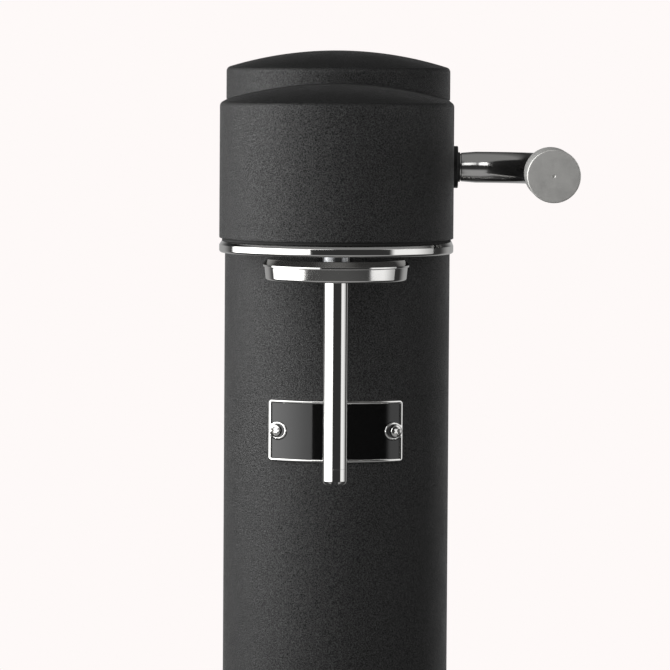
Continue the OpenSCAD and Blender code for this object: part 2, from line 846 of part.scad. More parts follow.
module shaft_bushes() {
    flange_t = 1.5;
    color("#b08d57") translate([0, lever_y, lever_z]) for (side = [0, 1]) mirror([side, 0, 0]) difference() {
        union() {
            rod_x(bush_r, cheek_x - 0.01, cheek_t);
            rod_x(bush_r + 2.5, cheek_x - flange_t, flange_t);
        }
        rod_x(journal_r + fit, cheek_x - flange_t - eps, cheek_t + flange_t + 2 * eps);
    }
}

module lever_spring() {
    room = cheek_x - 1.5 - cam_w / 2;
    color("#6d7174") translate([cam_w / 2 + spring_wire + 0.3, lever_y, lever_z]) rotate([0, 90, 0])
        coil(journal_r + 2.6, spring_wire, room - 2 * spring_wire - 0.6, 3);
}

// ---- rocker --------------------------------------------------------------

module rocker_arm() {
    bar = 3.2;                             // half the bar's height
    front_len = norm([front_arm, rocker_dip]);
    color("#8a8f93") translate([0, rocker_y, rocker_z]) difference() {
        rotate([90, 0, 90]) linear_extrude(height = rocker_w, center = true) {
            circle(r = pivot_r + 4);
            translate([rocker_front, 0]) circle(r = rear_nose_r);
            translate([-front_arm, -rocker_dip]) circle(r = nose_r);
            translate([0, -bar]) square([rocker_front, 2 * bar]);
            rotate(180 + atan(rocker_dip / front_arm)) translate([0, -bar]) square([front_len, 2 * bar]);
        }
        rod_x(pivot_r + fit, -rocker_w, 2 * rocker_w);
    }
}

module rocker_pin() {
    color("silver") translate([0, rocker_y, rocker_z]) {
        rod_x(pivot_r, -cheek_x - cheek_t - 1.5, 2 * (cheek_x + cheek_t) + 1.51);
        rod_x(pivot_r + 1.5, cheek_x + cheek_t, 1.5);
    }
}

module rocker_spacers() {
    color("#2a2a2a") translate([0, rocker_y, rocker_z]) for (side = [0, 1]) mirror([side, 0, 0])
        ring_x(pivot_r + 1.8, pivot_r + fit, rocker_w / 2 + gap, cheek_x - rocker_w / 2 - gap - 0.05);
}

// ---- valve train ---------------------------------------------------------

module valve_receiver() {
    body_z = chassis_top + flange_h;
    color("#b08d57") translate([0, column_y, 0]) difference() {
        union() {
            translate([0, 0, chassis_top]) cylinder(r = flange_r, h = flange_h);
            translate([0, 0, body_z - 0.01]) cylinder(r = receiver_r, h = receiver_top - body_z + 0.01);
            translate([0, 0, port_z]) rod_x(hose_r, -receiver_r - spout_len, spout_len + 1);
        }
        translate([0, 0, chassis_top - eps]) cylinder(r = socket_r, h = chamber_z - chassis_top + eps);
        translate([0, 0, chamber_z - eps]) cylinder(r = chamber_r, h = chamber_h + eps);
        translate([0, 0, receiver_top - guide_len - eps])
            cylinder(r = plunger_r + fit, h = guide_len + 2 * eps);
        translate([0, 0, port_z]) {
            rod_x(relief_plug_r + fit, 0, receiver_r + eps);
            rod_x(hose_bore_r, -receiver_r - spout_len - eps, receiver_r + spout_len);
        }
        translate([0, -column_y, chassis_top - eps])
            receiver_places() cylinder(r = m4_r + slack, h = flange_h + 2 * eps);
    }
}

module receiver_screws() {
    color("silver") receiver_places()
        screw_down(m4_r, m4_head_r, m4_head_h, chassis_top + flange_h, flange_h + chassis_t);
}

module face_seal() {
    color("#151515") translate([0, column_y, chamber_z - seal_t])
        ring(socket_r - slack / 2, tip_r + 2, seal_t);
}

module plunger() {
    tip_z = valve_top + pin_proud + gap;
    stem_z = chamber_z + 4.5;
    color("silver") translate([0, column_y, 0]) {
        translate([0, 0, tip_z]) cylinder(r = tip_r, h = stem_z - tip_z + 0.01);
        translate([0, 0, stem_z]) cylinder(r = plunger_r, h = plunger_top - stem_z - 1);
        translate([0, 0, plunger_top - plunger_head_h]) cylinder(r = plunger_head_r, h = plunger_head_h);
    }
}

module plunger_spring() {
    wire = 0.6;
    color("#6d7174") translate([0, column_y, receiver_top + wire + 0.1])
        coil(plunger_r + 1.8, wire, spring_room - 2 * wire - 0.2, 4);
}

module relief_body() {
    plug_len = 5;
    color("#b08d57") translate([receiver_r, column_y, port_z]) difference() {
        union() {
            rod_x(relief_plug_r, -plug_len, plug_len + 0.01);
            rod_x(relief_bore_r + 2, 0, relief_len);
        }
        rod_x(1.5, -plug_len - eps, 2 * plug_len);
        rod_x(relief_bore_r, relief_seat, relief_len - relief_seat - relief_wall);
        rod_x(poppet_stem_r + 0.1, relief_len - relief_wall - eps, relief_wall + 2 * eps);
    }
}

module relief_poppet() {
    color("silver") translate([receiver_r, column_y, port_z]) {
        rod_x(relief_bore_r - gap, relief_seat + 0.1, poppet_t);
        rod_x(poppet_stem_r, relief_seat + poppet_t, relief_len - relief_seat);
    }
}

module relief_spring() {
    wire = 0.5;
    start = receiver_r + relief_seat + poppet_t + wire + 0.2;
    end = receiver_r + relief_len - relief_wall - wire - 0.1;
    color("#6d7174") translate([start, column_y, port_z]) rotate([0, 90, 0])
        coil(3, wire, end - start, 5);
}

// point of a cubic curve
function bezier(p, t) =
    pow(1 - t, 3) * p[0] + 3 * pow(1 - t, 2) * t * p[1] + 3 * (1 - t) * t * t * p[2] + pow(t, 3) * p[3];

module gas_tube() {
    start = [-receiver_r - spout_len - fit, column_y, port_z];
    end = [-ear_x - ear_t - fit, head_y, tilt_z];
    straight = [1, 0, 0];                  // each end runs straight out of its port
    belly = [24, 0, 0];                    // how far the tube bows out past the cheek
    ctrl = [start - straight, start - belly, end - belly - [8, 0, 0], end - straight];
    curve = [for (i = [0 : 24]) bezier(ctrl, i / 24)];
    color("#d8d8d4") sweep(concat([start], curve, [end]), hose_r, 10, [0, 0, 1]);
}

// ---- gas cylinder --------------------------------------------------------

// outline of the vessel, set in by t all over, with a neck of radius r_neck up to z_neck
function vessel(t, r_neck, z_neck) = concat(
    [[0, cylinder_foot + t], [cylinder_r - 4, cylinder_foot + t], [cylinder_r - t, cylinder_foot + 4 + t]],
    [for (a = [0 : 10 : 60]) [(cylinder_r - t) * cos(a), shoulder_z + (cylinder_r - t) * sin(a)]],
    [[r_neck, shoulder_z + (cylinder_r - t) * sin(60)], [r_neck, z_neck], [0, z_neck]]
);

module co2_cylinder() {
    color("#8d9499") translate([0, column_y, 0]) rotate_extrude() difference() {
        polygon(vessel(0, neck_r, hex_z));
        polygon(vessel(cylinder_t, neck_bore_r, hex_z + eps));
    }
}

module cylinder_valve() {
    plug_z = hex_z - plug_len;
    thread_z = hex_z + hex_h;
    color("#b08d57") translate([0, column_y, 0]) difference() {
        union() {
            translate([0, 0, plug_z]) cylinder(r = neck_bore_r - fit, h = plug_len + 0.01);
            translate([0, 0, hex_z]) cylinder(r = neck_r + 0.5, h = hex_h, $fn = 6);
            translate([0, 0, thread_z - 0.01]) cylinder(r = thread_r, h = valve_top - thread_z + 0.01);
        }
        translate([0, 0, plug_z - eps]) cylinder(r = valve_pin_r + fit, h = valve_top - plug_z + 2 * eps);
    }
}

module valve_pin() {
    pin_len = 14;
    color("silver") translate([0, column_y, valve_top + pin_proud - pin_len])
        cylinder(r = valve_pin_r, h = pin_len);
}

// ---- bottle mount --------------------------------------------------------

module nozzle_block() {
    color("#9aa0a4") translate([0, head_y, 0]) difference() {
        union() {
            translate([0, 0, chassis_top]) cylinder(r = block_r, h = block_h);
            for (x = [-ear_x - ear_t, ear_x]) {
                translate([x, -ear_r, chassis_top]) cube([ear_t, 2 * ear_r, tilt_z - chassis_top]);
                translate([0, 0, tilt_z]) rod_x(ear_r, x, ear_t);
            }
        }
        translate([0, 0, chassis_top - eps]) intersection() {
            cylinder(r = block_hole_r, h = block_h + 2 * eps);
            translate([-ear_x, -block_r, 0]) cube([2 * ear_x, 2 * block_r, 40]);
        }
        translate([0, 0, tilt_z]) rod_x(pivot_r + fit, -block_r, 2 * block_r);
        translate([0, -head_y, chassis_top - eps])
            block_places() cylinder(r = m3_r + slack, h = block_h + 2 * eps);
    }
}

module block_screws() {
    color("silver") block_places()
        screw_down(m3_r, m3_head_r, m3_head_h, chassis_top + block_h, chassis_t + block_h);
}

module tilt_pin() {
    half_len = ear_x + ear_t;
    color("silver") translate([0, head_y, tilt_z]) difference() {
        rod_x(pivot_r, -half_len, 2 * half_len);
        rod_x(hose_bore_r, -half_len - eps, half_len + eps);
    }
}

module mount_stem() {
    eye_half = ear_x - gap;
    color("silver") translate([0, head_y, 0]) difference() {
        union() {
            translate([0, 0, tilt_z]) rod_x(ear_r - 1, -eye_half, 2 * eye_half);
            translate([0, 0, disc_top]) cylinder(r = stem_r, h = tilt_z - disc_top);
            translate([0, 0, disc_roof_z]) cylinder(r = spigot_r, h = disc_top - disc_roof_z + 0.01);
        }
        translate([0, 0, tilt_z]) rod_x(pivot_r + fit, -ear_x, 2 * ear_x);
        translate([0, 0, disc_roof_z - eps]) cylinder(r = 1.5, h = tilt_z - disc_roof_z);
    }
}

module mount_disc() {
    side_h = disc_h - lip_h;
    foot_r = disc_r - disc_taper;
    wall_r = disc_r - 0.6;
    soft = 0.8;
    color("silver") translate([0, head_y, disc_z]) difference() {
        union() {
            cylinder(r1 = foot_r - soft, r2 = foot_r, h = soft);
            translate([0, 0, soft]) cylinder(r1 = foot_r, r2 = wall_r, h = side_h - soft);
            translate([0, 0, side_h]) cylinder(r = disc_r, h = lip_h);
            translate([0, 0, disc_h]) cylinder(r1 = disc_r - 0.4, r2 = disc_r - 1.9, h = cone_h);
        }
        translate([0, 0, -eps]) cylinder(r = bottle_r, h = socket_depth + eps);
        cylinder(r = spigot_r + fit, h = disc_h + cone_h + eps);
    }
}

module thread_insert() {
    color("#2a2a2a") translate([0, head_y, disc_z + 0.3]) difference() {
        ring(bottle_r - fit, bottle_r - 2, socket_depth - 0.3);
        for (z = [1.2, 3]) translate([0, 0, z]) ring(bottle_r - 1.4, bottle_r - 3, 0.9);
    }
}

module bottle_seal() {
    color("#151515") translate([0, head_y, disc_roof_z - 1.2])
        ring(nozzle_r + 7, nozzle_r + fit, 1.2);
}

module nozzle_tube() {
    color("silver") translate([0, head_y, nozzle_tip_z + tip_len])
        ring(nozzle_r, nozzle_bore_r, disc_roof_z - nozzle_tip_z - tip_len);
}

module nozzle_tip() {
    taper = 2.2;
    plug = 6;
    notch_w = 3;
    notch_h = 2.2;
    color("silver") translate([0, head_y, nozzle_tip_z]) difference() {
        union() {
            cylinder(r1 = nozzle_r - taper, r2 = nozzle_r, h = taper);
            translate([0, 0, taper]) cylinder(r = nozzle_r, h = tip_len - taper);
            translate([0, 0, tip_len - 0.01]) cylinder(r = nozzle_bore_r - fit, h = plug);
        }
        translate([0, 0, notch_h + 1.5]) cylinder(r = 1, h = tip_len + plug);
        translate([0, 0, -eps]) cylinder(r = 0.6, h = notch_h + 3);
        translate([-notch_w / 2, -nozzle_r - eps, -eps])
            cube([notch_w, 2 * (nozzle_r + eps), notch_h + eps]);
    }
}

foot_mat();
base_floor();
base_shell();
base_screws();
drip_tray();
column_foot_ring();
column_tube();
cylinder_guide_ring();
column_collar();
badge_plate();
badge_screws();
head_housing();
top_cap();
cap_ring();
head_ring();
ring_gasket();
head_underplate();
underplate_screws();
chassis_plate();
collar_screws();
left_cheek();
right_cheek();
cheek_screws();
lever_rod();
lever_grip();
grip_screw();
lever_cam();
cam_pin();
shaft_clip();
outer_bush();
bush_nut();
shaft_bushes();
lever_spring();
rocker_arm();
rocker_pin();
rocker_spacers();
valve_receiver();
receiver_screws();
face_seal();
plunger();
plunger_spring();
relief_body();
relief_poppet();
relief_spring();
gas_tube();
co2_cylinder();
cylinder_valve();
valve_pin();
nozzle_block();
block_screws();
tilt_pin();
mount_stem();
mount_disc();
thread_insert();
bottle_seal();
nozzle_tube();
nozzle_tip();
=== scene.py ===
import json
import math

import bmesh
import bpy
from mathutils import Matrix, Vector


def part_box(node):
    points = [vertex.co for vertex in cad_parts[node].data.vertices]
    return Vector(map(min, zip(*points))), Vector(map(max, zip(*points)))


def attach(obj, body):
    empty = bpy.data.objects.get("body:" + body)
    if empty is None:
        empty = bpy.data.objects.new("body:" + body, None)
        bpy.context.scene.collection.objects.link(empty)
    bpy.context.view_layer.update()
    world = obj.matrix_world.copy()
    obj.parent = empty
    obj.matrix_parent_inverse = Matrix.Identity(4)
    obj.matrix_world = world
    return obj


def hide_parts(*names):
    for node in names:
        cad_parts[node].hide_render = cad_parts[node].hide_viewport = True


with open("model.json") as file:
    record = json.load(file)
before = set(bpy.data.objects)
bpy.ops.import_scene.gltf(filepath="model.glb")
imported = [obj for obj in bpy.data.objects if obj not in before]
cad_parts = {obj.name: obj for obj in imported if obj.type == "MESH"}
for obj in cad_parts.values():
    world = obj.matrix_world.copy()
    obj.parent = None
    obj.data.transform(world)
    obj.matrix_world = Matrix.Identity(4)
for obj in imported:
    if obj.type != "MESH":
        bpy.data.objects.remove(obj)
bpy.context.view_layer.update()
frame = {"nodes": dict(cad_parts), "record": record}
nodes = frame["nodes"]
mm = 0.001
print("frame loaded:", len(nodes), "parts")


def srgb(hexText):  # sRGB hex to linear RGBA
    values = [int(hexText[i:i + 2], 16) / 255 for i in (1, 3, 5)]
    return [v / 12.92 if v <= 0.04045 else ((v + 0.055) / 1.055) ** 2.4 for v in values] + [1.0]


def addNode(tree, kind, inputs=None, **settings):
    node = tree.nodes.new(kind)
    for key, value in settings.items():
        setattr(node, key, value)
    for key, value in (inputs or {}).items():
        if isinstance(value, bpy.types.NodeSocket):
            tree.links.new(value, node.inputs[key])
        else:
            node.inputs[key].default_value = value
    return node


def scaleFor(sizeMm):  # texture scale whose features are about this many millimetres wide
    return 1000 / sizeMm


def newMaterial(name, **surface):
    material = bpy.data.materials.new(name)
    material.use_nodes = True
    tree = material.node_tree
    tree.nodes.clear()
    shader = addNode(tree, "ShaderNodeBsdfPrincipled", surface)
    addNode(tree, "ShaderNodeOutputMaterial", {"Surface": shader.outputs[0]})
    spot = addNode(tree, "ShaderNodeTexCoord").outputs["Object"]
    return material, tree, shader, spot


noiseLow, noiseHigh = 0.3, 0.7  # nearly all of a noise texture's values lie between these


def noiseRange(tree, spot, sizeMm, low, high):  # noise mapped to a range
    noise = addNode(tree, "ShaderNodeTexNoise", {"Vector": spot, "Scale": scaleFor(sizeMm), "Detail": 3.0})
    return addNode(tree, "ShaderNodeMapRange", {
        "Value": noise.outputs["Fac"], "From Min": noiseLow, "From Max": noiseHigh,
        "To Min": low, "To Max": high,
    }).outputs[0]


def blendColours(tree, factor, first, second):
    mix = addNode(tree, "ShaderNodeMix", data_type="RGBA")
    tree.links.new(factor, mix.inputs["Factor"])
    mix.inputs[6].default_value = srgb(first)
    mix.inputs[7].default_value = srgb(second)
    return mix.outputs[2]


def addBump(tree, shader, height, strength, depthMm):
    bump = addNode(tree, "ShaderNodeBump", {"Height": height, "Strength": strength, "Distance": depthMm * mm})
    tree.links.new(bump.outputs[0], shader.inputs["Normal"])


# grit: the real one is about 0.4 mm, drawn a little coarser so that it shows
coatLook = {"gritMm": 0.55, "paintedShadeHollow": "#050505", "paintedLightCrest": "#1b1b1b", "crestFrom": 0.38, "crestTo": 0.66,
            "glintLow": 0.16, "glintHigh": 0.85, "roughLow": 0.33, "roughHigh": 0.4, "patchMm": 14,
            "bump": 1.0, "bumpMm": 0.35}


def makeSandCoat():
    # polyester powder coat, sand texture, baked on steel: matt black with a fine grit that sparkles
    c = coatLook
    material, tree, shader, spot = newMaterial("powderCoatSandBlack", **{"IOR": 1.5})
    noise = addNode(tree, "ShaderNodeTexNoise", {
        "Vector": spot, "Scale": scaleFor(c["gritMm"]), "Detail": 3.0, "Roughness": 0.8})
    speck = addNode(tree, "ShaderNodeMapRange", {
        "Value": noise.outputs["Fac"], "From Min": c["crestFrom"], "From Max": c["crestTo"],
        "To Min": 0.0, "To Max": 1.0}).outputs[0]
    # grit colour follows the bump's own noise: painted shade in its hollows and painted light on its crests,
    # over a random speckle
    tree.links.new(blendColours(tree, speck, c["paintedShadeHollow"], c["paintedLightCrest"]), shader.inputs["Base Color"])
    glint = addNode(tree, "ShaderNodeMapRange", {
        "Value": speck, "To Min": c["glintLow"], "To Max": c["glintHigh"]}).outputs[0]
    tree.links.new(glint, shader.inputs["Specular IOR Level"])
    rough = noiseRange(tree, spot, c["patchMm"], c["roughLow"], c["roughHigh"])
    tree.links.new(rough, shader.inputs["Roughness"])
    addBump(tree, shader, noise.outputs["Fac"], c["bump"], c["bumpMm"])
    return material


steelLooks = {
    "mirror": {"colour": "#d9d8d6", "patchMm": 9, "roughLow": 0.045, "roughHigh": 0.1,
               "grainMm": 2.5, "bump": 0.05, "bumpMm": 0.05},
    "satin": {"colour": "#d2d1cf", "patchMm": 6, "roughLow": 0.12, "roughHigh": 0.16,
              "grainMm": 0.5, "bump": 0.06, "bumpMm": 0.05},
}


def makeFinishedSteel(name, look):
    material, tree, shader, spot = newMaterial(name, **{
        "Base Color": srgb(look["colour"]), "Metallic": 1.0})
    rough = noiseRange(tree, spot, look["patchMm"], look["roughLow"], look["roughHigh"])
    tree.links.new(rough, shader.inputs["Roughness"])
    grain = addNode(tree, "ShaderNodeTexNoise", {
        "Vector": spot, "Scale": scaleFor(look["grainMm"]), "Detail": 2.0})
    addBump(tree, shader, grain.outputs["Fac"], look["bump"], look["bumpMm"])
    return material


# turning rings: the real feed is about 0.1 mm, drawn coarser so that it shows
spunLook = {"ringMm": 0.45, "ringUnit": 0.314, "colour": "#cfcecb", "wobble": 0.6, "patchMm": 5,
            "roughLow": 0.5, "roughHigh": 0.58, "bump": 0.12, "bumpMm": 0.03}


def makeSpunSteel(axis):
    # 304 stainless faced on a lathe: satin, with fine turning rings round the grip's axis
    s = spunLook
    material, tree, shader, spot = newMaterial("stainlessSpunSatin", **{
        "Base Color": srgb(s["colour"]), "Metallic": 1.0})
    centred = addNode(tree, "ShaderNodeMapping", {"Vector": spot, "Location": [-v for v in axis]})
    rings = addNode(tree, "ShaderNodeTexWave", {  # at scale 1 its rings lie ringUnit apart
        "Vector": centred.outputs[0], "Scale": s["ringUnit"] * scaleFor(s["ringMm"]),
        "Distortion": s["wobble"], "Detail": 2.0,
    }, wave_type="RINGS", rings_direction="Y")
    rough = noiseRange(tree, centred.outputs[0], s["patchMm"], s["roughLow"], s["roughHigh"])
    tree.links.new(rough, shader.inputs["Roughness"])
    addBump(tree, shader, rings.outputs["Fac"], s["bump"], s["bumpMm"])
    return material


enamelLook = {"field": "#0a0a0a", "chrome": "#dddcda", "edgeFrom": 0.3, "edgeTo": 0.6, "patchMm": 7,
              "roughLow": 0.04, "roughHigh": 0.09}


def makeBadgeMetal():
    # zinc die casting, chromed border round a field of gloss black enamel
    e = enamelLook
    material, tree, shader, spot = newMaterial("badgeChromeAndEnamel", **{
        "IOR": 1.5, "Specular IOR Level": 0.5})
    rim = addNode(tree, "ShaderNodeAttribute", attribute_name="rim")
    edge = addNode(tree, "ShaderNodeMapRange", {
        "Value": rim.outputs["Fac"], "From Min": e["edgeFrom"], "From Max": e["edgeTo"]}).outputs[0]
    tree.links.new(blendColours(tree, edge, e["field"], e["chrome"]), shader.inputs["Base Color"])
    tree.links.new(edge, shader.inputs["Metallic"])
    rough = noiseRange(tree, spot, e["patchMm"], e["roughLow"], e["roughHigh"])
    tree.links.new(rough, shader.inputs["Roughness"])
    return material


def makePlain(name, light, dark, roughLow, roughHigh, grainMm, bump, **surface):
    material, tree, shader, spot = newMaterial(name, **surface)
    tree.links.new(blendColours(tree, noiseRange(tree, spot, grainMm * 6, 0, 1), light, dark),
                   shader.inputs["Base Color"])
    tree.links.new(noiseRange(tree, spot, grainMm * 3, roughLow, roughHigh), shader.inputs["Roughness"])
    grain = addNode(tree, "ShaderNodeTexNoise", {"Vector": spot, "Scale": scaleFor(grainMm), "Detail": 4.0})
    addBump(tree, shader, grain.outputs["Fac"], bump, 0.08)
    return material


gripLow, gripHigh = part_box("lever_grip")
gripCentre = (gripLow + gripHigh) / 2
metal = {"Metallic": 1.0}
finishes = {
    "black_coat": makeSandCoat(),
    # 304 stainless, buffed to a mirror: sharp reflections, faint polishing haze
    "polished_steel": makeFinishedSteel("stainlessMirrorPolished", steelLooks["mirror"]),
    "spun_steel": makeSpunSteel(gripCentre),
    # moulded PA6, spark-eroded texture: dull black, a little sheen
    "black_nylon": makePlain("nylonMouldedBlack", "#151515", "#1b1b1b", 0.42, 0.55, 0.5, 0.25),
    # EPDM rubber, moulded: matt, faintly mottled
    "rubber": makePlain("rubberEpdmBlack", "#131313", "#191918", 0.72, 0.85, 0.8, 0.35),
    # zinc-plated steel, turned and stamped: grey with soft cloudy sheen
    "plain_steel": makePlain("steelZincPlated", "#b9babb", "#a6a8ab", 0.22, 0.36, 0.7, 0.08, **metal),
    # cast aluminium, bead-blasted: pale and even, no mirror
    "cast_aluminium": makePlain("aluminiumBeadBlasted", "#b4b5b6", "#a3a4a6", 0.42, 0.55, 0.4, 0.3, **metal),
    # drawn spring wire, oil-tempered: dark blue-grey
    "spring_steel": makePlain("springWireOilTempered", "#6c6f73", "#55585c", 0.28, 0.4, 0.4, 0.1, **metal),
    # turned brass, lightly tarnished
    "brass": makePlain("brassTurned", "#d2b065", "#b8954c", 0.2, 0.34, 0.6, 0.08, **metal),
    # milky polyurethane pressure tube
    "clear_tube": makePlain("polyurethaneMilky", "#d9dad2", "#c9cbc2", 0.3, 0.4, 1.0, 0.06,
                            **{"Subsurface Weight": 0.2, "Subsurface Scale": 0.002}),
    # stove enamel on the gas cylinder: satin grey with slight orange peel
    "cylinder_paint": makePlain("enamelSatinGrey", "#9aa1a6", "#8f969b", 0.3, 0.4, 1.6, 0.12),
}
badgeMetal = makeBadgeMetal()
# 304 stainless, fine-brushed and tumbled: soft-edged reflections
satinSteel = makeFinishedSteel("stainlessSatin", steelLooks["satin"])
print("materials made:", len(finishes) + 2)

slotOf = {part["node"]: part["material_slot"] for part in frame["record"]["subparts"]}
for nodeName, cadObject in nodes.items():
    for materialSlot in cadObject.material_slots:
        materialSlot.material = finishes["plain_steel" if nodeName == "mount_stem" else slotOf[nodeName]]


def roundOutline(corners, steps=6):  # corners are (across, up, radius), in order round the section
    outline = []
    for index, (x, z, radius) in enumerate(corners):
        corner = Vector((x, z))
        if radius <= 0:
            outline.append(corner)
            continue
        before = (Vector(corners[index - 1][:2]) - corner).normalized()
        after = (Vector(corners[(index + 1) % len(corners)][:2]) - corner).normalized()
        half = before.angle(after) / 2
        centre = corner + (before + after).normalized() * radius / math.sin(half)
        first = corner + before * radius / math.tan(half) - centre
        last = corner + after * radius / math.tan(half) - centre
        for step in range(steps + 1):
            part = step / steps
            mid = first * (1 - part) + last * part
            outline.append(centre + mid.normalized() * radius)
    return outline


def supportEnds(outline):  # points just inside the ends of long runs keep their shading flat
    near = 0.15 * mm
    leastTurn = 0.05  # radians; a flatter corner needs no support
    supported = []
    for k, point in enumerate(outline):
        after, beyond = outline[(k + 1) % len(outline)], outline[(k + 2) % len(outline)]
        supported.append(point)
        run = Vector(after) - Vector(point)
        if run.length < 8 * near or point[0] == after[0] == 0:
            continue
        way = run.normalized() * near
        if point[0] > 0 and way.angle(Vector(point) - Vector(outline[k - 1]), 0) > leastTurn:
            supported.append(Vector(point) + way)
        if after[0] > 0 and way.angle(Vector(beyond) - Vector(after), 0) > leastTurn:
            supported.append(Vector(after) - way)
    return supported


def domeOutline(radius, edgeZ, rise, edgeR):  # from the wall's top to the crown on the axis
    edgeSteps, crownSteps = 8, 26
    sphereR = (radius ** 2 + rise ** 2) / (2 * rise)
    centreZ = edgeZ + rise - sphereR
    bendZ = centreZ + math.sqrt((sphereR - edgeR) ** 2 - (radius - edgeR) ** 2)
    lean = math.asin((radius - edgeR) / (sphereR - edgeR))
    outline = []
    for step in range(edgeSteps + 1):
        angle = (math.pi / 2 - lean) * step / edgeSteps
        outline.append(Vector((radius - edgeR + edgeR * math.cos(angle), bendZ + edgeR * math.sin(angle))))
    for step in range(1, crownSteps + 1):
        angle = lean * (1 - step / crownSteps)
        outline.append(Vector((sphereR * math.sin(angle), centreZ + sphereR * math.cos(angle))))
    outline[-1].x = 0
    return outline


def cleanMesh(mesh, sharpAngle=35):  # merged, facing outwards, smooth with crisp edges
    work = bmesh.new()
    work.from_mesh(mesh)
    bmesh.ops.remove_doubles(work, verts=work.verts, dist=1e-6)
    bmesh.ops.dissolve_degenerate(work, edges=work.edges, dist=1e-7)
    bmesh.ops.recalc_face_normals(work, faces=work.faces)
    work.to_mesh(mesh)
    work.free()
    mesh.polygons.foreach_set("use_smooth", [True] * len(mesh.polygons))
    mesh.set_sharp_from_angle(angle=math.radians(sharpAngle))


def addPiece(name, mesh, material, sharpAngle=35):
    cleanMesh(mesh, sharpAngle)
    mesh.materials.clear()
    mesh.materials.append(material)
    piece = bpy.data.objects.new(name, mesh)
    bpy.context.scene.collection.objects.link(piece)
    return piece


def loftMesh(name, stations, looped):  # skins rows of points; a row that starts on the axis stays open
    count = len(stations[0])
    openRow = looped == "axis"
    closed = looped in ("axis", "ring")
    verts = [point for station in stations for point in station]
    faces = []
    for s in range(len(stations) if closed else len(stations) - 1):
        here, there = s * count, ((s + 1) % len(stations)) * count
        for k in range(count - 1 if openRow else count):
            following = (k + 1) % count
            faces.append((here + k, here + following, there + following, there + k))
    if not closed:
        faces.append(tuple(range(count)))
        faces.append(tuple((len(stations) - 1) * count + k for k in range(count)))
    mesh = bpy.data.meshes.new(name)
    mesh.from_pydata(verts, [], faces)
    return mesh


facings = {
    "Z": Matrix.Identity(3),
    "X": Matrix(((0, 0, 1), (1, 0, 0), (0, 1, 0))),
    "Y": Matrix(((0, 1, 0), (0, 0, 1), (1, 0, 0))),
}


def turn(name, outline, material, centre, along="Z", segments=128, sharpAngle=35):  # lathe-turned body
    outline = supportEnds(outline)
    stations = []
    for s in range(segments):
        angle = 2 * math.pi * s / segments
        stations.append([
            Vector(centre) + facings[along] @ Vector((p[0] * math.cos(angle), p[0] * math.sin(angle), p[1]))
            for p in outline
        ])
    onAxis = outline[0][0] == 0 and outline[-1][0] == 0
    return addPiece(name, loftMesh(name, stations, "axis" if onAxis else "ring"), material, sharpAngle)


def stadiumPath(frontY, backY):  # (centre y, angle) all the way round
    arcSteps, straightSteps = 96, 24
    path = [(frontY, -math.pi * s / arcSteps) for s in range(arcSteps)]
    path += [(frontY + (backY - frontY) * s / straightSteps, -math.pi) for s in range(straightSteps)]
    path += [(backY, math.pi - math.pi * s / arcSteps) for s in range(arcSteps)]
    path += [(backY + (frontY - backY) * s / straightSteps, 0.0) for s in range(straightSteps)]
    return path


def loftStadium(name, outline, material, frontY, backY):
    outline = supportEnds(outline)
    stations = [
        [Vector((p[0] * math.cos(angle), y + p[0] * math.sin(angle), p[1])) for p in outline]
        for y, angle in stadiumPath(frontY, backY)
    ]
    onAxis = outline[0][0] == 0 and outline[-1][0] == 0
    return addPiece(name, loftMesh(name, stations, "axis" if onAxis else "ring"), material)


def cutDrum(radius, low, high, centre, along="Z"):  # round cutter, gone after carve
    outline = [(0, low), (radius, low), (radius, high), (0, high)]
    return turn("cutter", outline, None, centre, along, 160)


def cutBox(low, high):  # square cutter, gone after carve
    work = bmesh.new()
    bmesh.ops.create_cube(work, size=1)
    for vert in work.verts:
        vert.co = Vector([low[i] if vert.co[i] < 0 else high[i] for i in range(3)])
    mesh = bpy.data.meshes.new("cutter")
    work.to_mesh(mesh)
    work.free()
    return addPiece("cutter", mesh, None)


def carve(piece, cutters):
    for cutter in cutters:
        cut = piece.modifiers.new("cut", "BOOLEAN")
        cut.operation = "DIFFERENCE"
        cut.solver = "EXACT"
        cut.object = cutter
    mesh = bpy.data.meshes.new_from_object(piece.evaluated_get(bpy.context.evaluated_depsgraph_get()))
    piece.modifiers.clear()
    piece.data = mesh
    cleanMesh(mesh)
    for cutter in cutters:
        bpy.data.objects.remove(cutter)


def settle(piece, body, slotName, *replaced):  # hands a finished piece to the frame
    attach(piece, body)
    if replaced:
        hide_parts(*replaced)


def newTree(name, **sockets):
    tree = bpy.data.node_groups.new(name, "GeometryNodeTree")
    tree.interface.new_socket("Geometry", in_out="INPUT", socket_type="NodeSocketGeometry")
    for label, kind in sockets.items():
        tree.interface.new_socket(label, in_out="INPUT", socket_type="NodeSocket" + kind)
    tree.interface.new_socket("Geometry", in_out="OUTPUT", socket_type="NodeSocketGeometry")
    return tree, addNode(tree, "NodeGroupInput").outputs


def closeTree(tree, geometry, material):  # every tree ends in real geometry with its material
    real = addNode(tree, "GeometryNodeRealizeInstances", {"Geometry": geometry})
    dressed = addNode(tree, "GeometryNodeSetMaterial", {"Geometry": real.outputs[0], "Material": material})
    addNode(tree, "NodeGroupOutput", {"Geometry": dressed.outputs[0]})
    return tree


def growPiece(name, tree, source, values, sharpAngle=35):  # runs a tree once and keeps a plain mesh
    holder = bpy.data.objects.new(name, source)
    bpy.context.scene.collection.objects.link(holder)
    modifier = holder.modifiers.new("grow", "NODES")
    modifier.node_group = tree
    for item in tree.interface.items_tree:
        if item.in_out == "INPUT" and item.name in values:
            modifier[item.identifier] = values[item.name]
    mesh = bpy.data.meshes.new_from_object(holder.evaluated_get(bpy.context.evaluated_depsgraph_get()))
    bpy.data.objects.remove(holder)
    cleanMesh(mesh, sharpAngle)
    piece = bpy.data.objects.new(name, mesh)
    bpy.context.scene.collection.objects.link(piece)
    return piece


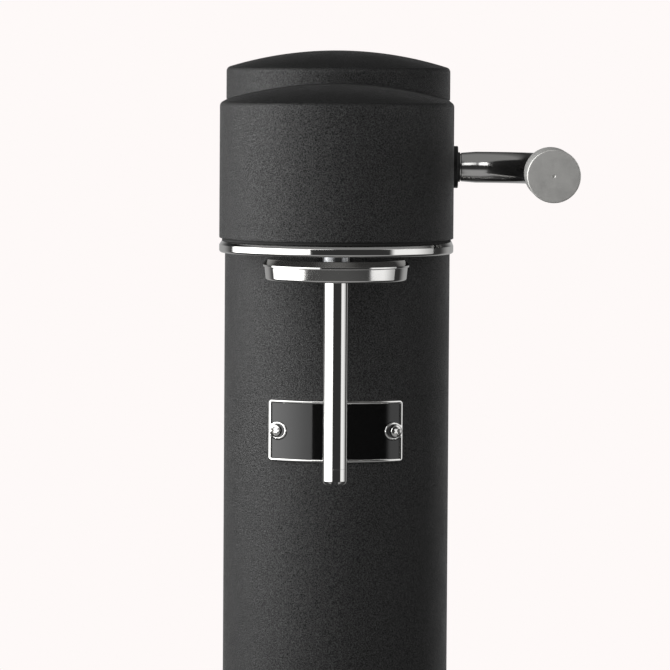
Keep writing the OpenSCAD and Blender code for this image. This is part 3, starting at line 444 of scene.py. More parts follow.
def polyCurve(name, points, cyclic=False, radii=None):
    curve = bpy.data.curves.new(name, "CURVE")
    curve.dimensions = "3D"
    spline = curve.splines.new("POLY")
    spline.points.add(len(points) - 1)
    for index, place in enumerate(points):
        spline.points[index].co = (*place, 1.0)
        spline.points[index].radius = radii[index] if radii else 1.0
    spline.use_cyclic_u = cyclic
    return curve


def sectionObject(outline, shift):  # a section for a strip: x points outwards, y points down
    curve = polyCurve("section", [(p[0] - shift, -p[1], 0) for p in supportEnds(outline)], True)
    section = bpy.data.objects.new("section", curve)
    bpy.context.scene.collection.objects.link(section)
    return section


def makeTubeTree():  # upright round tube with rounded rims
    tree, given = newTree("roundTube", Radius="Float", Wall="Float", Height="Float", Rounding="Float",
                          Segments="Int", Centre="Vector", Finish="Material")
    half = addNode(tree, "ShaderNodeMath", {0: given["Wall"], 1: 0.5}, operation="MULTIPLY")
    middle = addNode(tree, "ShaderNodeMath", {0: given["Radius"], 1: half.outputs[0]}, operation="SUBTRACT")
    circle = addNode(tree, "GeometryNodeCurvePrimitiveCircle",
                     {"Resolution": given["Segments"], "Radius": middle.outputs[0]})
    section = addNode(tree, "GeometryNodeCurvePrimitiveQuadrilateral",
                      {"Width": given["Wall"], "Height": given["Height"]})
    soft = addNode(tree, "GeometryNodeFilletCurve",
                   {"Curve": section.outputs[0], "Radius": given["Rounding"], "Count": 4}, mode="POLY")
    wall = addNode(tree, "GeometryNodeCurveToMesh",
                   {"Curve": circle.outputs["Curve"], "Profile Curve": soft.outputs[0]})
    placed = addNode(tree, "GeometryNodeTransform",
                     {"Geometry": wall.outputs[0], "Translation": given["Centre"]})
    return closeTree(tree, placed.outputs[0], given["Finish"])


def makeStripTree():  # a strip of any section laid along a path
    tree, given = newTree("stripOnPath", Section="Object", Finish="Material")
    shape = addNode(tree, "GeometryNodeObjectInfo", {"Object": given["Section"]})
    strip = addNode(tree, "GeometryNodeCurveToMesh", {
        "Curve": given["Geometry"], "Profile Curve": shape.outputs["Geometry"], "Fill Caps": True})
    return closeTree(tree, strip.outputs[0], given["Finish"])


def makeBarTree():  # a round bar along a path; each point's radius scales the bar
    tree, given = newTree("barOnPath", Radius="Float", Sides="Int", Finish="Material")
    circle = addNode(tree, "GeometryNodeCurvePrimitiveCircle",
                     {"Resolution": given["Sides"], "Radius": given["Radius"]})
    taper = addNode(tree, "GeometryNodeInputRadius")
    bar = addNode(tree, "GeometryNodeCurveToMesh", {
        "Curve": given["Geometry"], "Profile Curve": circle.outputs["Curve"], "Scale": taper.outputs[0],
        "Fill Caps": True})
    return closeTree(tree, bar.outputs[0], given["Finish"])


def makeScrewTree():  # one screw at each point, its head along the point's facing
    tree, given = newTree("screwsOnPoints", Screw="Object", Finish="Material")
    screw = addNode(tree, "GeometryNodeObjectInfo", {"Object": given["Screw"]})
    facing = addNode(tree, "GeometryNodeInputNamedAttribute", {"Name": "facing"}, data_type="FLOAT_VECTOR")
    aim = addNode(tree, "FunctionNodeAlignRotationToVector", {"Vector": facing.outputs[0]}, axis="Z")
    copies = addNode(tree, "GeometryNodeInstanceOnPoints", {
        "Points": given["Geometry"], "Instance": screw.outputs["Geometry"], "Rotation": aim.outputs[0]})
    return closeTree(tree, copies.outputs[0], given["Finish"])


def makeRibTree():  # soft-topped ribs across a round dish, one at each point
    tree, given = newTree("ribsInDish", Width="Float", Height="Float", Reach="Float", Rounding="Float",
                          Finish="Material")
    place = addNode(tree, "ShaderNodeSeparateXYZ", {0: addNode(tree, "GeometryNodeInputPosition").outputs[0]})
    reachSq = addNode(tree, "ShaderNodeMath", {0: given["Reach"], 1: 2.0}, operation="POWER")
    offSq = addNode(tree, "ShaderNodeMath", {0: place.outputs["X"], 1: 2.0}, operation="POWER")
    left = addNode(tree, "ShaderNodeMath", {0: reachSq.outputs[0], 1: offSq.outputs[0]}, operation="SUBTRACT")
    half = addNode(tree, "ShaderNodeMath", {0: left.outputs[0]}, operation="SQRT")
    size = addNode(tree, "ShaderNodeCombineXYZ", {"X": 1.0, "Y": half.outputs[0], "Z": 1.0})
    line = addNode(tree, "GeometryNodeCurvePrimitiveLine", {"Start": (0, -1, 0), "End": (0, 1, 0)})
    lines = addNode(tree, "GeometryNodeInstanceOnPoints", {
        "Points": given["Geometry"], "Instance": line.outputs[0], "Scale": size.outputs[0]})
    paths = addNode(tree, "GeometryNodeRealizeInstances", {"Geometry": lines.outputs[0]})
    # the section's lower half is sunk in the dish
    tall = addNode(tree, "ShaderNodeMath", {0: given["Height"], 1: 2.0}, operation="MULTIPLY")
    section = addNode(tree, "GeometryNodeCurvePrimitiveQuadrilateral",
                      {"Width": given["Width"], "Height": tall.outputs[0]})
    soft = addNode(tree, "GeometryNodeFilletCurve",
                   {"Curve": section.outputs[0], "Radius": given["Rounding"], "Count": 4}, mode="POLY")
    ribs = addNode(tree, "GeometryNodeCurveToMesh", {
        "Curve": paths.outputs[0], "Profile Curve": soft.outputs[0], "Fill Caps": True})
    return closeTree(tree, ribs.outputs[0], given["Finish"])


tubeTree = makeTubeTree()
stripTree = makeStripTree()
barTree = makeBarTree()
screwTree = makeScrewTree()
ribTree = makeRibTree()
print("node trees made")


headLook = {"wall": 2.0, "domeRise": 8.0, "edgeRadius": 2.4, "rimRounding": 0.35, "bushHole": 8.05,
            "capWall": 1.5, "capClear": 0.05, "capSegments": 192}
housingLow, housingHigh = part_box("head_housing")
bodyR = housingHigh.x
headY, columnY = housingLow.y + bodyR, housingHigh.y - bodyR
capLow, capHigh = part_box("top_cap")
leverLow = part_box("lever_rod")[0]
bushLow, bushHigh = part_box("outer_bush")
leverY, leverZ = (bushLow.y + bushHigh.y) / 2, (bushLow.z + bushHigh.z) / 2


def shellOutline(radius, footZ, edgeZ, wall):  # thin domed shell, from the outer crown to the inner one
    rise, edgeR = headLook["domeRise"] * mm, headLook["edgeRadius"] * mm
    soft = headLook["rimRounding"] * mm
    outer = domeOutline(radius, edgeZ, rise, edgeR)
    inner = domeOutline(radius - wall, edgeZ - wall, rise, edgeR)
    foot = roundOutline([(radius, edgeZ, 0), (radius, footZ, soft), (radius - wall, footZ, soft),
                         (radius - wall, edgeZ, 0)])[1:-1]
    return outer[::-1] + foot + inner


def makeHead():
    wall = headLook["wall"] * mm
    edgeZ = housingHigh.z - headLook["domeRise"] * mm
    capR = capHigh.x + headLook["capClear"] * mm
    outline = shellOutline(bodyR, housingLow.z, edgeZ, wall)
    head = loftStadium("headShell", outline, finishes["black_coat"], headY, columnY)
    far = 0.08  # past every face of the housing
    carve(head, [
        cutBox((-far, columnY, edgeZ), (far, columnY + far, edgeZ + far)),
        cutDrum(capR, edgeZ, edgeZ + far, (0, columnY, 0)),
        cutDrum(bodyR - wall, edgeZ - 5 * wall, edgeZ + far, (0, columnY, 0)),
        cutDrum(headLook["bushHole"] * mm, bodyR - 3 * wall, bodyR + wall, (0, leverY, leverZ), "X"),
    ])
    settle(head, "body", "black_coat", "head_housing")
    capEdge = capHigh.z - headLook["domeRise"] * mm
    outline = shellOutline(capHigh.x, capLow.z, capEdge, headLook["capWall"] * mm)
    cap = turn("topCapShell", outline, finishes["black_coat"], (0, columnY, 0),
               segments=headLook["capSegments"])
    settle(cap, "body", "black_coat", "top_cap")


makeHead()
print("head shells made")

columnLook = {"wall": 1.2, "rimRounding": 0.3, "segments": 256}


def makeColumn():
    low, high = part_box("column_tube")
    tube = growPiece("columnTube", tubeTree, bpy.data.meshes.new("seed"), {
        "Radius": high.x, "Wall": columnLook["wall"] * mm, "Height": high.z - low.z,
        "Rounding": columnLook["rimRounding"] * mm, "Segments": columnLook["segments"],
        "Centre": (0, columnY, (low.z + high.z) / 2), "Finish": finishes["black_coat"]})
    settle(tube, "body", "black_coat", "column_tube")


makeColumn()

trimLook = {"width": 5.7, "bevelAcross": 1.3, "bevelUp": 1.7, "footRounding": 1.1, "softness": 0.35,
            "gasketWidth": 6.3, "gasketSoftness": 0.1, "columnClear": 0.25, "arcSteps": 128, "legSteps": 12}


def trimPath(radius, endY):  # left leg, round the front, right leg
    legSteps = trimLook["legSteps"]
    left = [(-radius, endY + (headY - endY) * s / legSteps, 0) for s in range(legSteps)]
    arc = []
    for s in range(trimLook["arcSteps"] + 1):
        angle = math.pi + math.pi * s / trimLook["arcSteps"]
        arc.append((radius * math.cos(angle), headY + radius * math.sin(angle), 0))
    right = [(radius, headY + (endY - headY) * s / legSteps, 0) for s in range(1, legSteps + 1)]
    return left + arc + right


def makeTrim():
    t = trimLook
    low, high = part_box("head_ring")
    out, back = high.x, high.y
    inner, soft = out - t["width"] * mm, t["softness"] * mm
    outline = roundOutline([
        (inner, low.z, soft), (out, low.z, t["footRounding"] * mm), (out, high.z - t["bevelUp"] * mm, soft),
        (out - t["bevelAcross"] * mm, high.z, soft), (inner, high.z, soft)])
    columnR = bodyR + t["columnClear"] * mm
    path = polyCurve("trimPath", trimPath(bodyR, back))
    section = sectionObject(outline, bodyR)
    ring = growPiece("trimRing", stripTree, path, {"Section": section, "Finish": finishes["polished_steel"]})
    bpy.data.objects.remove(section)
    carve(ring, [cutDrum(columnR, low.z - mm, high.z + mm, (0, columnY, 0))])
    settle(ring, "body", "polished_steel", "head_ring")

    low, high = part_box("ring_gasket")
    inner, soft = high.x - t["gasketWidth"] * mm, t["gasketSoftness"] * mm
    outline = roundOutline([
        (inner, low.z, soft), (high.x, low.z, soft), (high.x, high.z, soft), (inner, high.z, soft)], 3)
    section = sectionObject(outline, bodyR)
    path = polyCurve("gasketPath", trimPath(bodyR, high.y))
    gasket = growPiece("ringGasket", stripTree, path, {"Section": section, "Finish": finishes["rubber"]})
    bpy.data.objects.remove(section)
    carve(gasket, [cutDrum(columnR, low.z - mm, high.z + mm, (0, columnY, 0))])
    settle(gasket, "body", "rubber", "ring_gasket")


makeTrim()
print("column and trim made")

badgeLook = {"cornerRadius": 1.5, "border": 1.4, "borderUp": 0.5, "slope": 0.25, "field": 1.0,
             "boss": 3.9, "screwGap": 52.6, "bossRim": 0.6, "pitch": 0.25, "backClear": 0.02,
             "sharpAngle": 50}


def softRectDistance(u, v, halfW, halfH, radius):  # inside is negative
    du, dv = abs(u) - halfW + radius, abs(v) - halfH + radius
    outside = math.hypot(max(du, 0), max(dv, 0))
    return outside + min(max(du, dv), 0) - radius


def smoothStep(value):
    value = min(max(value, 0), 1)
    return value * value * (3 - 2 * value)


def badgeHeight(u, v, halfW, halfH):  # height over the column and how much of it is border
    b = badgeLook
    edge = -softRectDistance(u, v, halfW, halfH, b["cornerRadius"])
    bossEdge = b["boss"] - math.hypot(abs(u) - b["screwGap"] / 2, v)
    boss = smoothStep(bossEdge / b["slope"] + 0.5)
    bead = math.sqrt(max(1 - (2 * edge / b["border"] - 1) ** 2, 0))
    ring = boss * smoothStep((b["bossRim"] - bossEdge) / b["slope"] + 0.5)
    rim = max(smoothStep((b["border"] - edge) / b["slope"] + 0.5), ring)
    return b["field"] + b["borderUp"] * max(bead, boss), rim


def makeBadge():
    b = badgeLook
    low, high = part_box("badge_plate")
    halfW, halfH, midZ = high.x / mm, (high.z - low.z) / 2 / mm, (high.z + low.z) / 2 / mm
    columns, rows = round(2 * halfW / b["pitch"]), round(2 * halfH / b["pitch"])
    front, back, rims = [], [], []
    for j in range(rows + 1):
        for i in range(columns + 1):
            u, v = halfW * (2 * i / columns - 1), halfH * (2 * j / rows - 1)
            inU, inV = halfW - b["cornerRadius"], halfH - b["cornerRadius"]
            if abs(u) > inU and abs(v) > inV:  # corner points move in to the rounded corner
                du, dv = abs(u) - inU, abs(v) - inV
                reach = max(du, dv) / math.hypot(du, dv)
                u, v = math.copysign(inU + du * reach, u), math.copysign(inV + dv * reach, v)
            height, rim = badgeHeight(u, v, halfW, halfH)
            side = math.asin(u / (bodyR / mm + b["field"] + b["borderUp"]))
            for ring, radius in ((front, bodyR / mm + height), (back, bodyR / mm + b["backClear"])):
                x, y = radius * math.sin(side), columnY / mm - radius * math.cos(side)
                ring.append(Vector((x, y, midZ + v)) * mm)
            rims.append(rim)
    across, total = columns + 1, len(front)
    faces = []
    for j in range(rows):
        for i in range(columns):
            a = j * across + i
            quad = (a, a + 1, a + 1 + across, a + across)
            faces.append(quad)
            faces.append(tuple(total + k for k in reversed(quad)))
    edge = [i for i in range(columns)] + [j * across + columns for j in range(rows)]
    edge += [rows * across + i for i in range(columns, 0, -1)] + [j * across for j in range(rows, 0, -1)]
    for k, a in enumerate(edge):
        following = edge[(k + 1) % len(edge)]
        faces.append((following, a, total + a, total + following))
    mesh = bpy.data.meshes.new("badge")
    mesh.from_pydata(front + back, [], faces)
    values = mesh.attributes.new("rim", "FLOAT", "POINT")
    values.data.foreach_set("value", rims + [1.0] * total)
    badge = addPiece("badge", mesh, badgeMetal, b["sharpAngle"])
    settle(badge, "body", "polished_steel", "badge_plate")


makeBadge()

# side, dome and domeIn are shares of the head's height, height and radius
screwLook = {"headRadius": 2.9, "headHeight": 1.5, "side": 0.45, "dome": 0.4, "domeIn": 0.3, "domeSteps": 6,
             "lobes": 6, "lobeRadius": 1.45, "lobeDepth": 0.3, "recess": 1.2, "recessEdge": 0.12,
             "recessTaper": 0.92, "shankRadius": 1.5, "shankLength": 4, "steps": 48, "sharpAngle": 30}


def makeScrewShape(name, radius, headH, shankR, shankLen):
    # head seated on z = 0 with a six-lobe recess, shank below
    s = screwLook
    scale = radius / s["headRadius"]
    rings = []
    profile = [(shankR, -shankLen), (shankR, -0.001), (radius, 0.0), (radius, headH * s["side"])]
    for step in range(1, s["domeSteps"]):
        angle = math.pi / 2 * step / s["domeSteps"]
        profile.append((radius - s["domeIn"] * radius * (1 - math.cos(angle)),
                        headH * (s["side"] + s["dome"] * math.sin(angle))))
    stepCount = s["steps"]
    for r, z in profile:
        rings.append([(r, z)] * stepCount)
    lobe = []
    for k in range(stepCount):
        angle = 2 * math.pi * k / stepCount
        lobe.append((s["lobeRadius"] + s["lobeDepth"] * math.cos(s["lobes"] * angle)) * scale)
    recessEdge = s["recessEdge"] * scale
    rings.append([(r + recessEdge, headH) for r in lobe])
    rings.append([(r, headH - recessEdge) for r in lobe])
    rings.append([(r * s["recessTaper"], headH - s["recess"] * scale) for r in lobe])
    angles = [2 * math.pi * k / stepCount for k in range(stepCount)]
    stations = []
    for ring in rings:
        stations.append([
            Vector((r * math.cos(angle), r * math.sin(angle), z)) * mm
            for angle, (r, z) in zip(angles, ring)
        ])
    return addPiece(name, loftMesh(name, stations, "capped"), None, s["sharpAngle"])


def placeScrews(name, template, places, ways, material, slotName, *replaced):
    seeds = bpy.data.meshes.new(name)
    seeds.from_pydata(places, [], [])
    seeds.attributes.new("facing", "FLOAT_VECTOR", "POINT").data.foreach_set("vector", sum(ways, ()))
    screws = growPiece(name, screwTree, seeds, {"Screw": template, "Finish": material},
                       screwLook["sharpAngle"])
    settle(screws, "body", slotName, *replaced)


def makeScrews():
    low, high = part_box("badge_screws")
    midZ = (low.z + high.z) / 2
    turnBy = math.asin(badgeLook["screwGap"] / 2 * mm / bodyR)
    seatR = bodyR + (badgeLook["field"] + badgeLook["borderUp"]) * mm
    places, ways = [], []
    for side in (-1, 1):
        way = (side * math.sin(turnBy), -math.cos(turnBy), 0.0)
        places.append((way[0] * seatR, columnY + way[1] * seatR, midZ))
        ways.append(way)
    template = makeScrewShape("screwShape", screwLook["headRadius"], screwLook["headHeight"],
                              screwLook["shankRadius"], screwLook["shankLength"])
    placeScrews("badgeScrews", template, places, ways, satinSteel, "polished_steel", "badge_screws")
    bpy.data.objects.remove(template)


makeScrews()
print("badge made")

leverLook = {"radius": 6.9, "neck": 6.4, "journal": 6.0, "bend": 30.0, "sides": 64, "bendSteps": 48,
             "shoulder": 0.3, "gripEdge": 0.5, "gripClear": 0.03, "gripMouth": 0.2, "gripSocket": 8,
             "gripSegments": 160, "gripSharpAngle": 40, "markRadius": 0.7, "markDepth": 0.8, "markCone": 0.3,
             "markEdge": 0.1}
bushLook = {"flange": 9.35, "out": 2.3, "bore": 6.05, "sleeve": 8.0, "collar": 6.6, "boreEdge": 0.2,
            "sleeveEdge": 0.4, "seatEdge": 0.1, "flangeEdge": 0.5, "collarEdge": 0.25, "mouthEdge": 0.15}


def makeLever():
    s = leverLook
    radius, bend, soft = s["radius"] * mm, s["bend"] * mm, s["shoulder"] * mm
    gripX = gripCentre.x
    outerX = bushHigh.x + s["shoulder"] * mm
    stepX = 1e-5  # the radius jumps within this length
    along = [(leverLow.x, s["journal"]), (outerX, s["journal"]),
             (outerX + stepX, s["neck"] - s["shoulder"]), (outerX + soft, s["neck"])]
    points = [(x, leverY, leverZ) for x, size in along]
    scales = [size / s["radius"] for x, size in along]
    for step in range(s["bendSteps"] + 1):
        angle = math.pi / 2 * (1 - step / s["bendSteps"])
        points.append((gripX - bend + bend * math.cos(angle), leverY - bend + bend * math.sin(angle), leverZ))
        scales.append(1.0)
    points.append((gripX, leverLow.y, leverZ))
    scales.append(1.0)
    path = polyCurve("leverPath", points, radii=scales)
    bar = growPiece("leverRod", barTree, path, {
        "Radius": radius, "Sides": s["sides"], "Finish": satinSteel})
    settle(bar, "lever", "polished_steel", "lever_rod")

    gripR, edge = gripHigh.x - gripX, s["gripEdge"] * mm
    markR, markDeep = s["markRadius"] * mm, s["markDepth"] * mm
    socketR, socketFloor = radius + s["gripClear"] * mm, gripHigh.y - s["gripSocket"] * mm
    outline = roundOutline([
        (0, gripLow.y + markDeep, 0), (markR, gripLow.y + markDeep * s["markCone"], 0),
        (markR, gripLow.y, s["markEdge"] * mm), (gripR, gripLow.y, edge), (gripR, gripHigh.y, edge),
        (socketR, gripHigh.y, s["gripMouth"] * mm), (socketR, socketFloor, 0), (0, socketFloor, 0)])
    grip = turn("leverGrip", outline, finishes["spun_steel"], (gripX, 0, leverZ), "Y",
                s["gripSegments"], s["gripSharpAngle"])
    settle(grip, "lever", "spun_steel", "lever_grip")

    b = bushLook
    flangeX = bodyR + b["out"] * mm
    outline = roundOutline([
        (b["bore"] * mm, bushLow.x, b["boreEdge"] * mm), (b["sleeve"] * mm, bushLow.x, b["sleeveEdge"] * mm),
        (b["sleeve"] * mm, bodyR, 0), (b["flange"] * mm, bodyR, b["seatEdge"] * mm),
        (b["flange"] * mm, flangeX, b["flangeEdge"] * mm), (b["collar"] * mm, flangeX, b["seatEdge"] * mm),
        (b["collar"] * mm, bushHigh.x, b["collarEdge"] * mm),
        (b["bore"] * mm, bushHigh.x, b["mouthEdge"] * mm)])
    bush = turn("leverBush", outline, finishes["black_nylon"], (0, leverY, leverZ), "X")
    settle(bush, "body", "black_nylon", "outer_bush")


makeLever()
print("lever made")

mountLook = {"taper": 1.2, "lip": 0.9, "lipSoftness": 0.25, "lipOut": 0.6, "cone": 2.5, "coneIn": 1.9,
             "coneEdge": 0.5, "footRounding": 1.0, "socket": 4.8, "socketEdge": 0.3, "roofEdge": 0.2,
             "bore": 23.0, "spigot": 3.53, "seamEdge": 0.1, "segments": 192}
nozzleLook = {"bore": 2.5, "seamEdge": 0.05, "tipRound": 2.2, "jet": 0.6, "feed": 1, "feedUp": 1.5,
              "sleeve": 2.45, "sleeveEdge": 0.2, "notch": 3.0, "notchUp": 2.2, "segments": 96}


def makeMount():
    m = mountLook
    low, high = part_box("mount_disc")
    lipTop = high.z - m["cone"] * mm
    lipFoot = lipTop - m["lip"] * mm
    roof = low.z + m["socket"] * mm
    lipR, seam = high.x - m["lipOut"] * mm, m["seamEdge"] * mm
    boreR, spigotR = m["bore"] * mm, m["spigot"] * mm
    outline = roundOutline([
        (boreR, low.z, m["socketEdge"] * mm), (high.x - m["taper"] * mm, low.z, m["footRounding"] * mm),
        (lipR, lipFoot, seam), (high.x, lipFoot, m["lipSoftness"] * mm),
        (high.x, lipTop, m["lipSoftness"] * mm), (high.x - m["coneIn"] * mm, high.z, m["coneEdge"] * mm),
        (spigotR, high.z, seam), (spigotR, roof, 0), (boreR, roof, m["roofEdge"] * mm)])
    disc = turn("mountDisc", outline, finishes["polished_steel"], (0, headY, 0), segments=m["segments"])
    settle(disc, "bottle_mount", "polished_steel", "mount_disc")

    n = nozzleLook
    low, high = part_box("nozzle_tube")
    tipLow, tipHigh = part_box("nozzle_tip")
    nozzleR, boreR, seam = high.x, n["bore"] * mm, n["seamEdge"] * mm
    outline = roundOutline([
        (boreR, low.z, 0), (nozzleR, low.z, seam), (nozzleR, high.z, 0), (boreR, high.z, 0)])
    tube = turn("nozzleTube", outline, finishes["polished_steel"], (0, headY, 0), segments=n["segments"])
    settle(tube, "bottle_mount", "polished_steel", "nozzle_tube")
    jetR, feedR, sleeveR = n["jet"] * mm, n["feed"] * mm, n["sleeve"] * mm
    shoulder = tipLow.z + (n["notchUp"] + n["feedUp"]) * mm
    outline = roundOutline([
        (jetR, tipLow.z, 0), (nozzleR, tipLow.z, n["tipRound"] * mm), (nozzleR, low.z, seam),
        (sleeveR, low.z, 0), (sleeveR, tipHigh.z, n["sleeveEdge"] * mm), (feedR, tipHigh.z, 0),
        (feedR, shoulder, 0), (jetR, shoulder, 0)])
    tip = turn("nozzleTip", outline, finishes["polished_steel"], (0, headY, 0), segments=n["segments"])
    notch = n["notch"] * mm
    carve(tip, [cutBox((-notch / 2, headY - 2 * nozzleR, tipLow.z - mm),
                       (notch / 2, headY + 2 * nozzleR, tipLow.z + n["notchUp"] * mm))])
    settle(tip, "bottle_mount", "polished_steel", "nozzle_tip")


makeMount()
print("mount made")

baseLook = {"sheet": 1.5, "edge": 1.4, "footEdge": 0.3, "innerEdge": 0.5, "trayHole": 0.5, "gasHole": 33.0}
trayLook = {"rim": 1.7, "sheet": 1.0, "corner": 3.0, "neckEdge": 0.2, "lipUnder": 0.3, "lipEdge": 0.45,
            "mouthEdge": 0.6, "segments": 160, "ribGap": 18.0, "ribWidth": 2.0, "ribHeight": 1.5,
            "ribInset": 8.0, "ribRounding": 0.5}
matLook = {"softness": 0.8, "topEdge": 0.2, "holeExtra": 0.5}


def makeBase():
    b, t, m = baseLook, trayLook, matLook
    low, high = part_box("base_shell")
    trayLow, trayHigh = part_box("drip_tray")
    trayR = trayHigh.x - t["rim"] * mm
    sheet, edge, soft = b["sheet"] * mm, b["edge"] * mm, b["footEdge"] * mm
    outline = roundOutline([
        (0, high.z, 0), (bodyR, high.z, edge), (bodyR, low.z, soft), (bodyR - sheet, low.z, soft),
        (bodyR - sheet, high.z - sheet, b["innerEdge"] * mm), (0, high.z - sheet, 0)])
    shell = loftStadium("baseShell", outline, finishes["black_coat"], headY, columnY)
    carve(shell, [
        cutDrum(trayR + b["trayHole"] * mm, low.z, high.z + mm, (0, headY, 0)),
        cutDrum(b["gasHole"] * mm, low.z, high.z + mm, (0, columnY, 0)),
    ])
    settle(shell, "body", "black_coat", "base_shell")

    tray, corner = t["sheet"] * mm, t["corner"] * mm
    outline = roundOutline([
        (0, trayLow.z, 0), (trayR, trayLow.z, corner), (trayR, trayHigh.z - tray, t["neckEdge"] * mm),
        (trayHigh.x, trayHigh.z - tray, t["lipUnder"] * mm), (trayHigh.x, trayHigh.z, t["lipEdge"] * mm),
        (trayR - tray, trayHigh.z, t["mouthEdge"] * mm), (trayR - tray, trayLow.z + tray, corner - tray / 2),
        (0, trayLow.z + tray, 0)])
    dish = turn("trayDish", outline, finishes["polished_steel"], (0, headY, 0), segments=t["segments"])
    settle(dish, "drip_tray", "polished_steel", "drip_tray")
    seats = bpy.data.meshes.new("ribSeats")
    seats.from_pydata([(t["ribGap"] * k * mm, headY, trayLow.z + tray) for k in (-1, 0, 1)], [], [])
    ribs = growPiece("trayRibs", ribTree, seats, {
        "Width": t["ribWidth"] * mm, "Height": t["ribHeight"] * mm, "Rounding": t["ribRounding"] * mm,
        "Reach": trayR - tray - t["ribInset"] * mm, "Finish": finishes["polished_steel"]})
    settle(ribs, "drip_tray", "polished_steel")

    matLow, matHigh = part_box("foot_mat")
    matR, soft = matHigh.x, m["softness"] * mm
    outline = roundOutline([
        (0, matHigh.z, 0), (matR, matHigh.z, m["topEdge"] * mm), (matR, matLow.z, soft), (0, matLow.z, 0)])
    mat = loftStadium("footMat", outline, finishes["rubber"], headY, columnY)
    carve(mat, [cutDrum((b["gasHole"] + m["holeExtra"]) * mm, matLow.z - mm, matHigh.z + mm,
                        (0, columnY, 0))])
    settle(mat, "body", "rubber", "foot_mat")


makeBase()
print("base made")

floorLook = {"radius": 0.9, "thickness": 0.01, "edge": 0.002, "pale": "#ebebea", "shade": "#e6e6e5",
             "patchMm": 4, "roughness": 0.85}
# azimuth 0 is the camera's side and positive is right; spread is the width of directions it fills
softboxes = {
    "softboxLeft": {"azimuth": -73, "spread": 98, "height": 1.6, "foot": 0.02, "radiance": 3.4},
    "softboxRight": {"azimuth": 80, "spread": 56, "height": 1.6, "foot": 0.02, "radiance": 1.0},
    "softboxHigh": {"azimuth": -15, "spread": 26, "height": 0.5, "foot": 0.75, "radiance": 3.4},
}
lampLook = {"distance": 1.25, "softEdge": (0.0, 0.12, 0.1, 1.0), "farEdge": (0.45, 1.0, 1.15, 0.5)}
# what reflections find by direction along one axis: where it starts and ends, and the value at each
glowLook = {"paper": "#fef9f8", "behindY": (0.55, 0.85, 0.05, 0.5), "behindZ": (0.1, 0.35, 1.0, 0.1),
            "aboveZ": (0.45, 0.7, 0.0, 0.35), "aboveY": (0.3, 0.7, 1.0, 0.45),
            "belowZ": (-0.45, -0.15, 0.5, 0.0), "belowY": (-0.5, -0.15, 1.0, 0.15)}
cameraLook = {"place": (0.0124, -2.4, 0.4253), "yaw": 0.0054, "pitch": 0.0578, "roll": 0.0065, "lens": 287.3,
              "sensor": 36}


def fade(tree, value, start, end, first, last):
    return addNode(tree, "ShaderNodeMapRange", {
        "Value": value, "From Min": start, "From Max": end, "To Min": first, "To Max": last,
    }, interpolation_type="SMOOTHSTEP").outputs[0]


def multiply(tree, first, second):
    return addNode(tree, "ShaderNodeMath", {0: first, 1: second}, operation="MULTIPLY").outputs[0]


def makeFloor():
    f = floorLook
    material, tree, shader, spot = newMaterial("paperSweepPale", Roughness=f["roughness"])  # studio paper
    tree.links.new(blendColours(tree, noiseRange(tree, spot, f["patchMm"], 0, 1), f["pale"], f["shade"]),
                   shader.inputs["Base Color"])
    outline = roundOutline([
        (0, -f["thickness"], 0), (f["radius"], -f["thickness"], f["edge"]), (f["radius"], 0, f["edge"]),
        (0, 0, 0)])
    floor = turn("floor", outline, material, (0, 0, 0))
    floor.visible_glossy = False  # keeps its pale reflection out of the polished steel


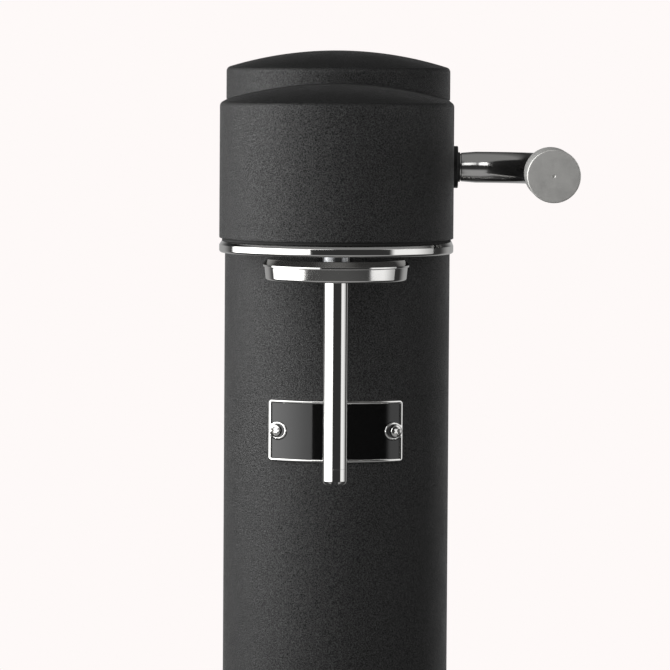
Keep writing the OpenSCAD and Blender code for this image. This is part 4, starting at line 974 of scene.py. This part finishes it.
def makeSoftbox(name, look):  # flat lamp, dimmer towards its upright edges
    reach = lampLook["distance"]
    lamp = bpy.data.lights.new(name, "AREA")
    lamp.shape = "RECTANGLE"
    lamp.size = 2 * reach * math.tan(math.radians(look["spread"] / 2))
    lamp.size_y = look["height"]
    lamp.energy = look["radiance"] * math.pi * lamp.size * lamp.size_y
    holder = bpy.data.objects.new(name, lamp)
    azimuth = math.radians(look["azimuth"])
    way = Vector((math.sin(azimuth), -math.cos(azimuth), 0))
    holder.location = way * reach + Vector((0, 0, look["height"] / 2 + look["foot"]))
    holder.rotation_euler = (-way).to_track_quat("-Z", "Y").to_euler()
    holder.visible_camera = False
    lamp.use_nodes = True
    tree = lamp.node_tree
    glow = next(node for node in tree.nodes if node.type == "EMISSION")
    place = addNode(tree, "ShaderNodeNewGeometry").outputs["Parametric"]
    across = addNode(tree, "ShaderNodeSeparateXYZ", {0: place})
    rise = fade(tree, across.outputs["X"], *lampLook["softEdge"])
    fall = fade(tree, across.outputs["X"], *lampLook["farEdge"])
    tree.links.new(multiply(tree, rise, fall), glow.inputs["Strength"])
    bpy.context.scene.collection.objects.link(holder)


def makeWorld():
    g = glowLook
    world = bpy.data.worlds.new("paleStudio")
    world.use_nodes = True
    tree = world.node_tree
    tree.nodes.clear()
    facing = addNode(tree, "ShaderNodeTexCoord").outputs["Generated"]
    way = addNode(tree, "ShaderNodeSeparateXYZ", {0: facing})
    y, z = way.outputs["Y"], way.outputs["Z"]
    behind = multiply(tree, fade(tree, y, *g["behindY"]), fade(tree, z, *g["behindZ"]))
    above = multiply(tree, fade(tree, z, *g["aboveZ"]), fade(tree, y, *g["aboveY"]))
    below = multiply(tree, fade(tree, z, *g["belowZ"]), fade(tree, y, *g["belowY"]))
    both = addNode(tree, "ShaderNodeMath", {0: above, 1: below}, operation="MAXIMUM").outputs[0]
    both = addNode(tree, "ShaderNodeMath", {0: both, 1: behind}, operation="MAXIMUM")
    unseen = addNode(tree, "ShaderNodeBackground", {"Strength": both.outputs[0]})
    seen = addNode(tree, "ShaderNodeBackground", {"Color": srgb(g["paper"]), "Strength": 1.0})
    pick = addNode(tree, "ShaderNodeMixShader", {
        0: addNode(tree, "ShaderNodeLightPath").outputs["Is Camera Ray"], 1: unseen.outputs[0],
        2: seen.outputs[0]})
    addNode(tree, "ShaderNodeOutputWorld", {"Surface": pick.outputs[0]})
    bpy.context.scene.world = world


def makeCamera():
    c = cameraLook
    lens = bpy.data.cameras.new("frontCamera")
    lens.lens = c["lens"]
    lens.sensor_width = c["sensor"]
    camera = bpy.data.objects.new("frontCamera", lens)
    bpy.context.scene.collection.objects.link(camera)
    aim = Matrix.Rotation(c["yaw"], 4, "Z") @ Matrix.Rotation(math.pi / 2 - c["pitch"], 4, "X")
    camera.matrix_world = Matrix.Translation(c["place"]) @ aim @ Matrix.Rotation(c["roll"], 4, "Z")
    bpy.context.scene.camera = camera


makeFloor()
for softboxName, softboxLook in softboxes.items():
    makeSoftbox(softboxName, softboxLook)
makeWorld()
makeCamera()
bpy.context.scene.view_settings.view_transform = "Standard"
print("floor, lights and camera made")
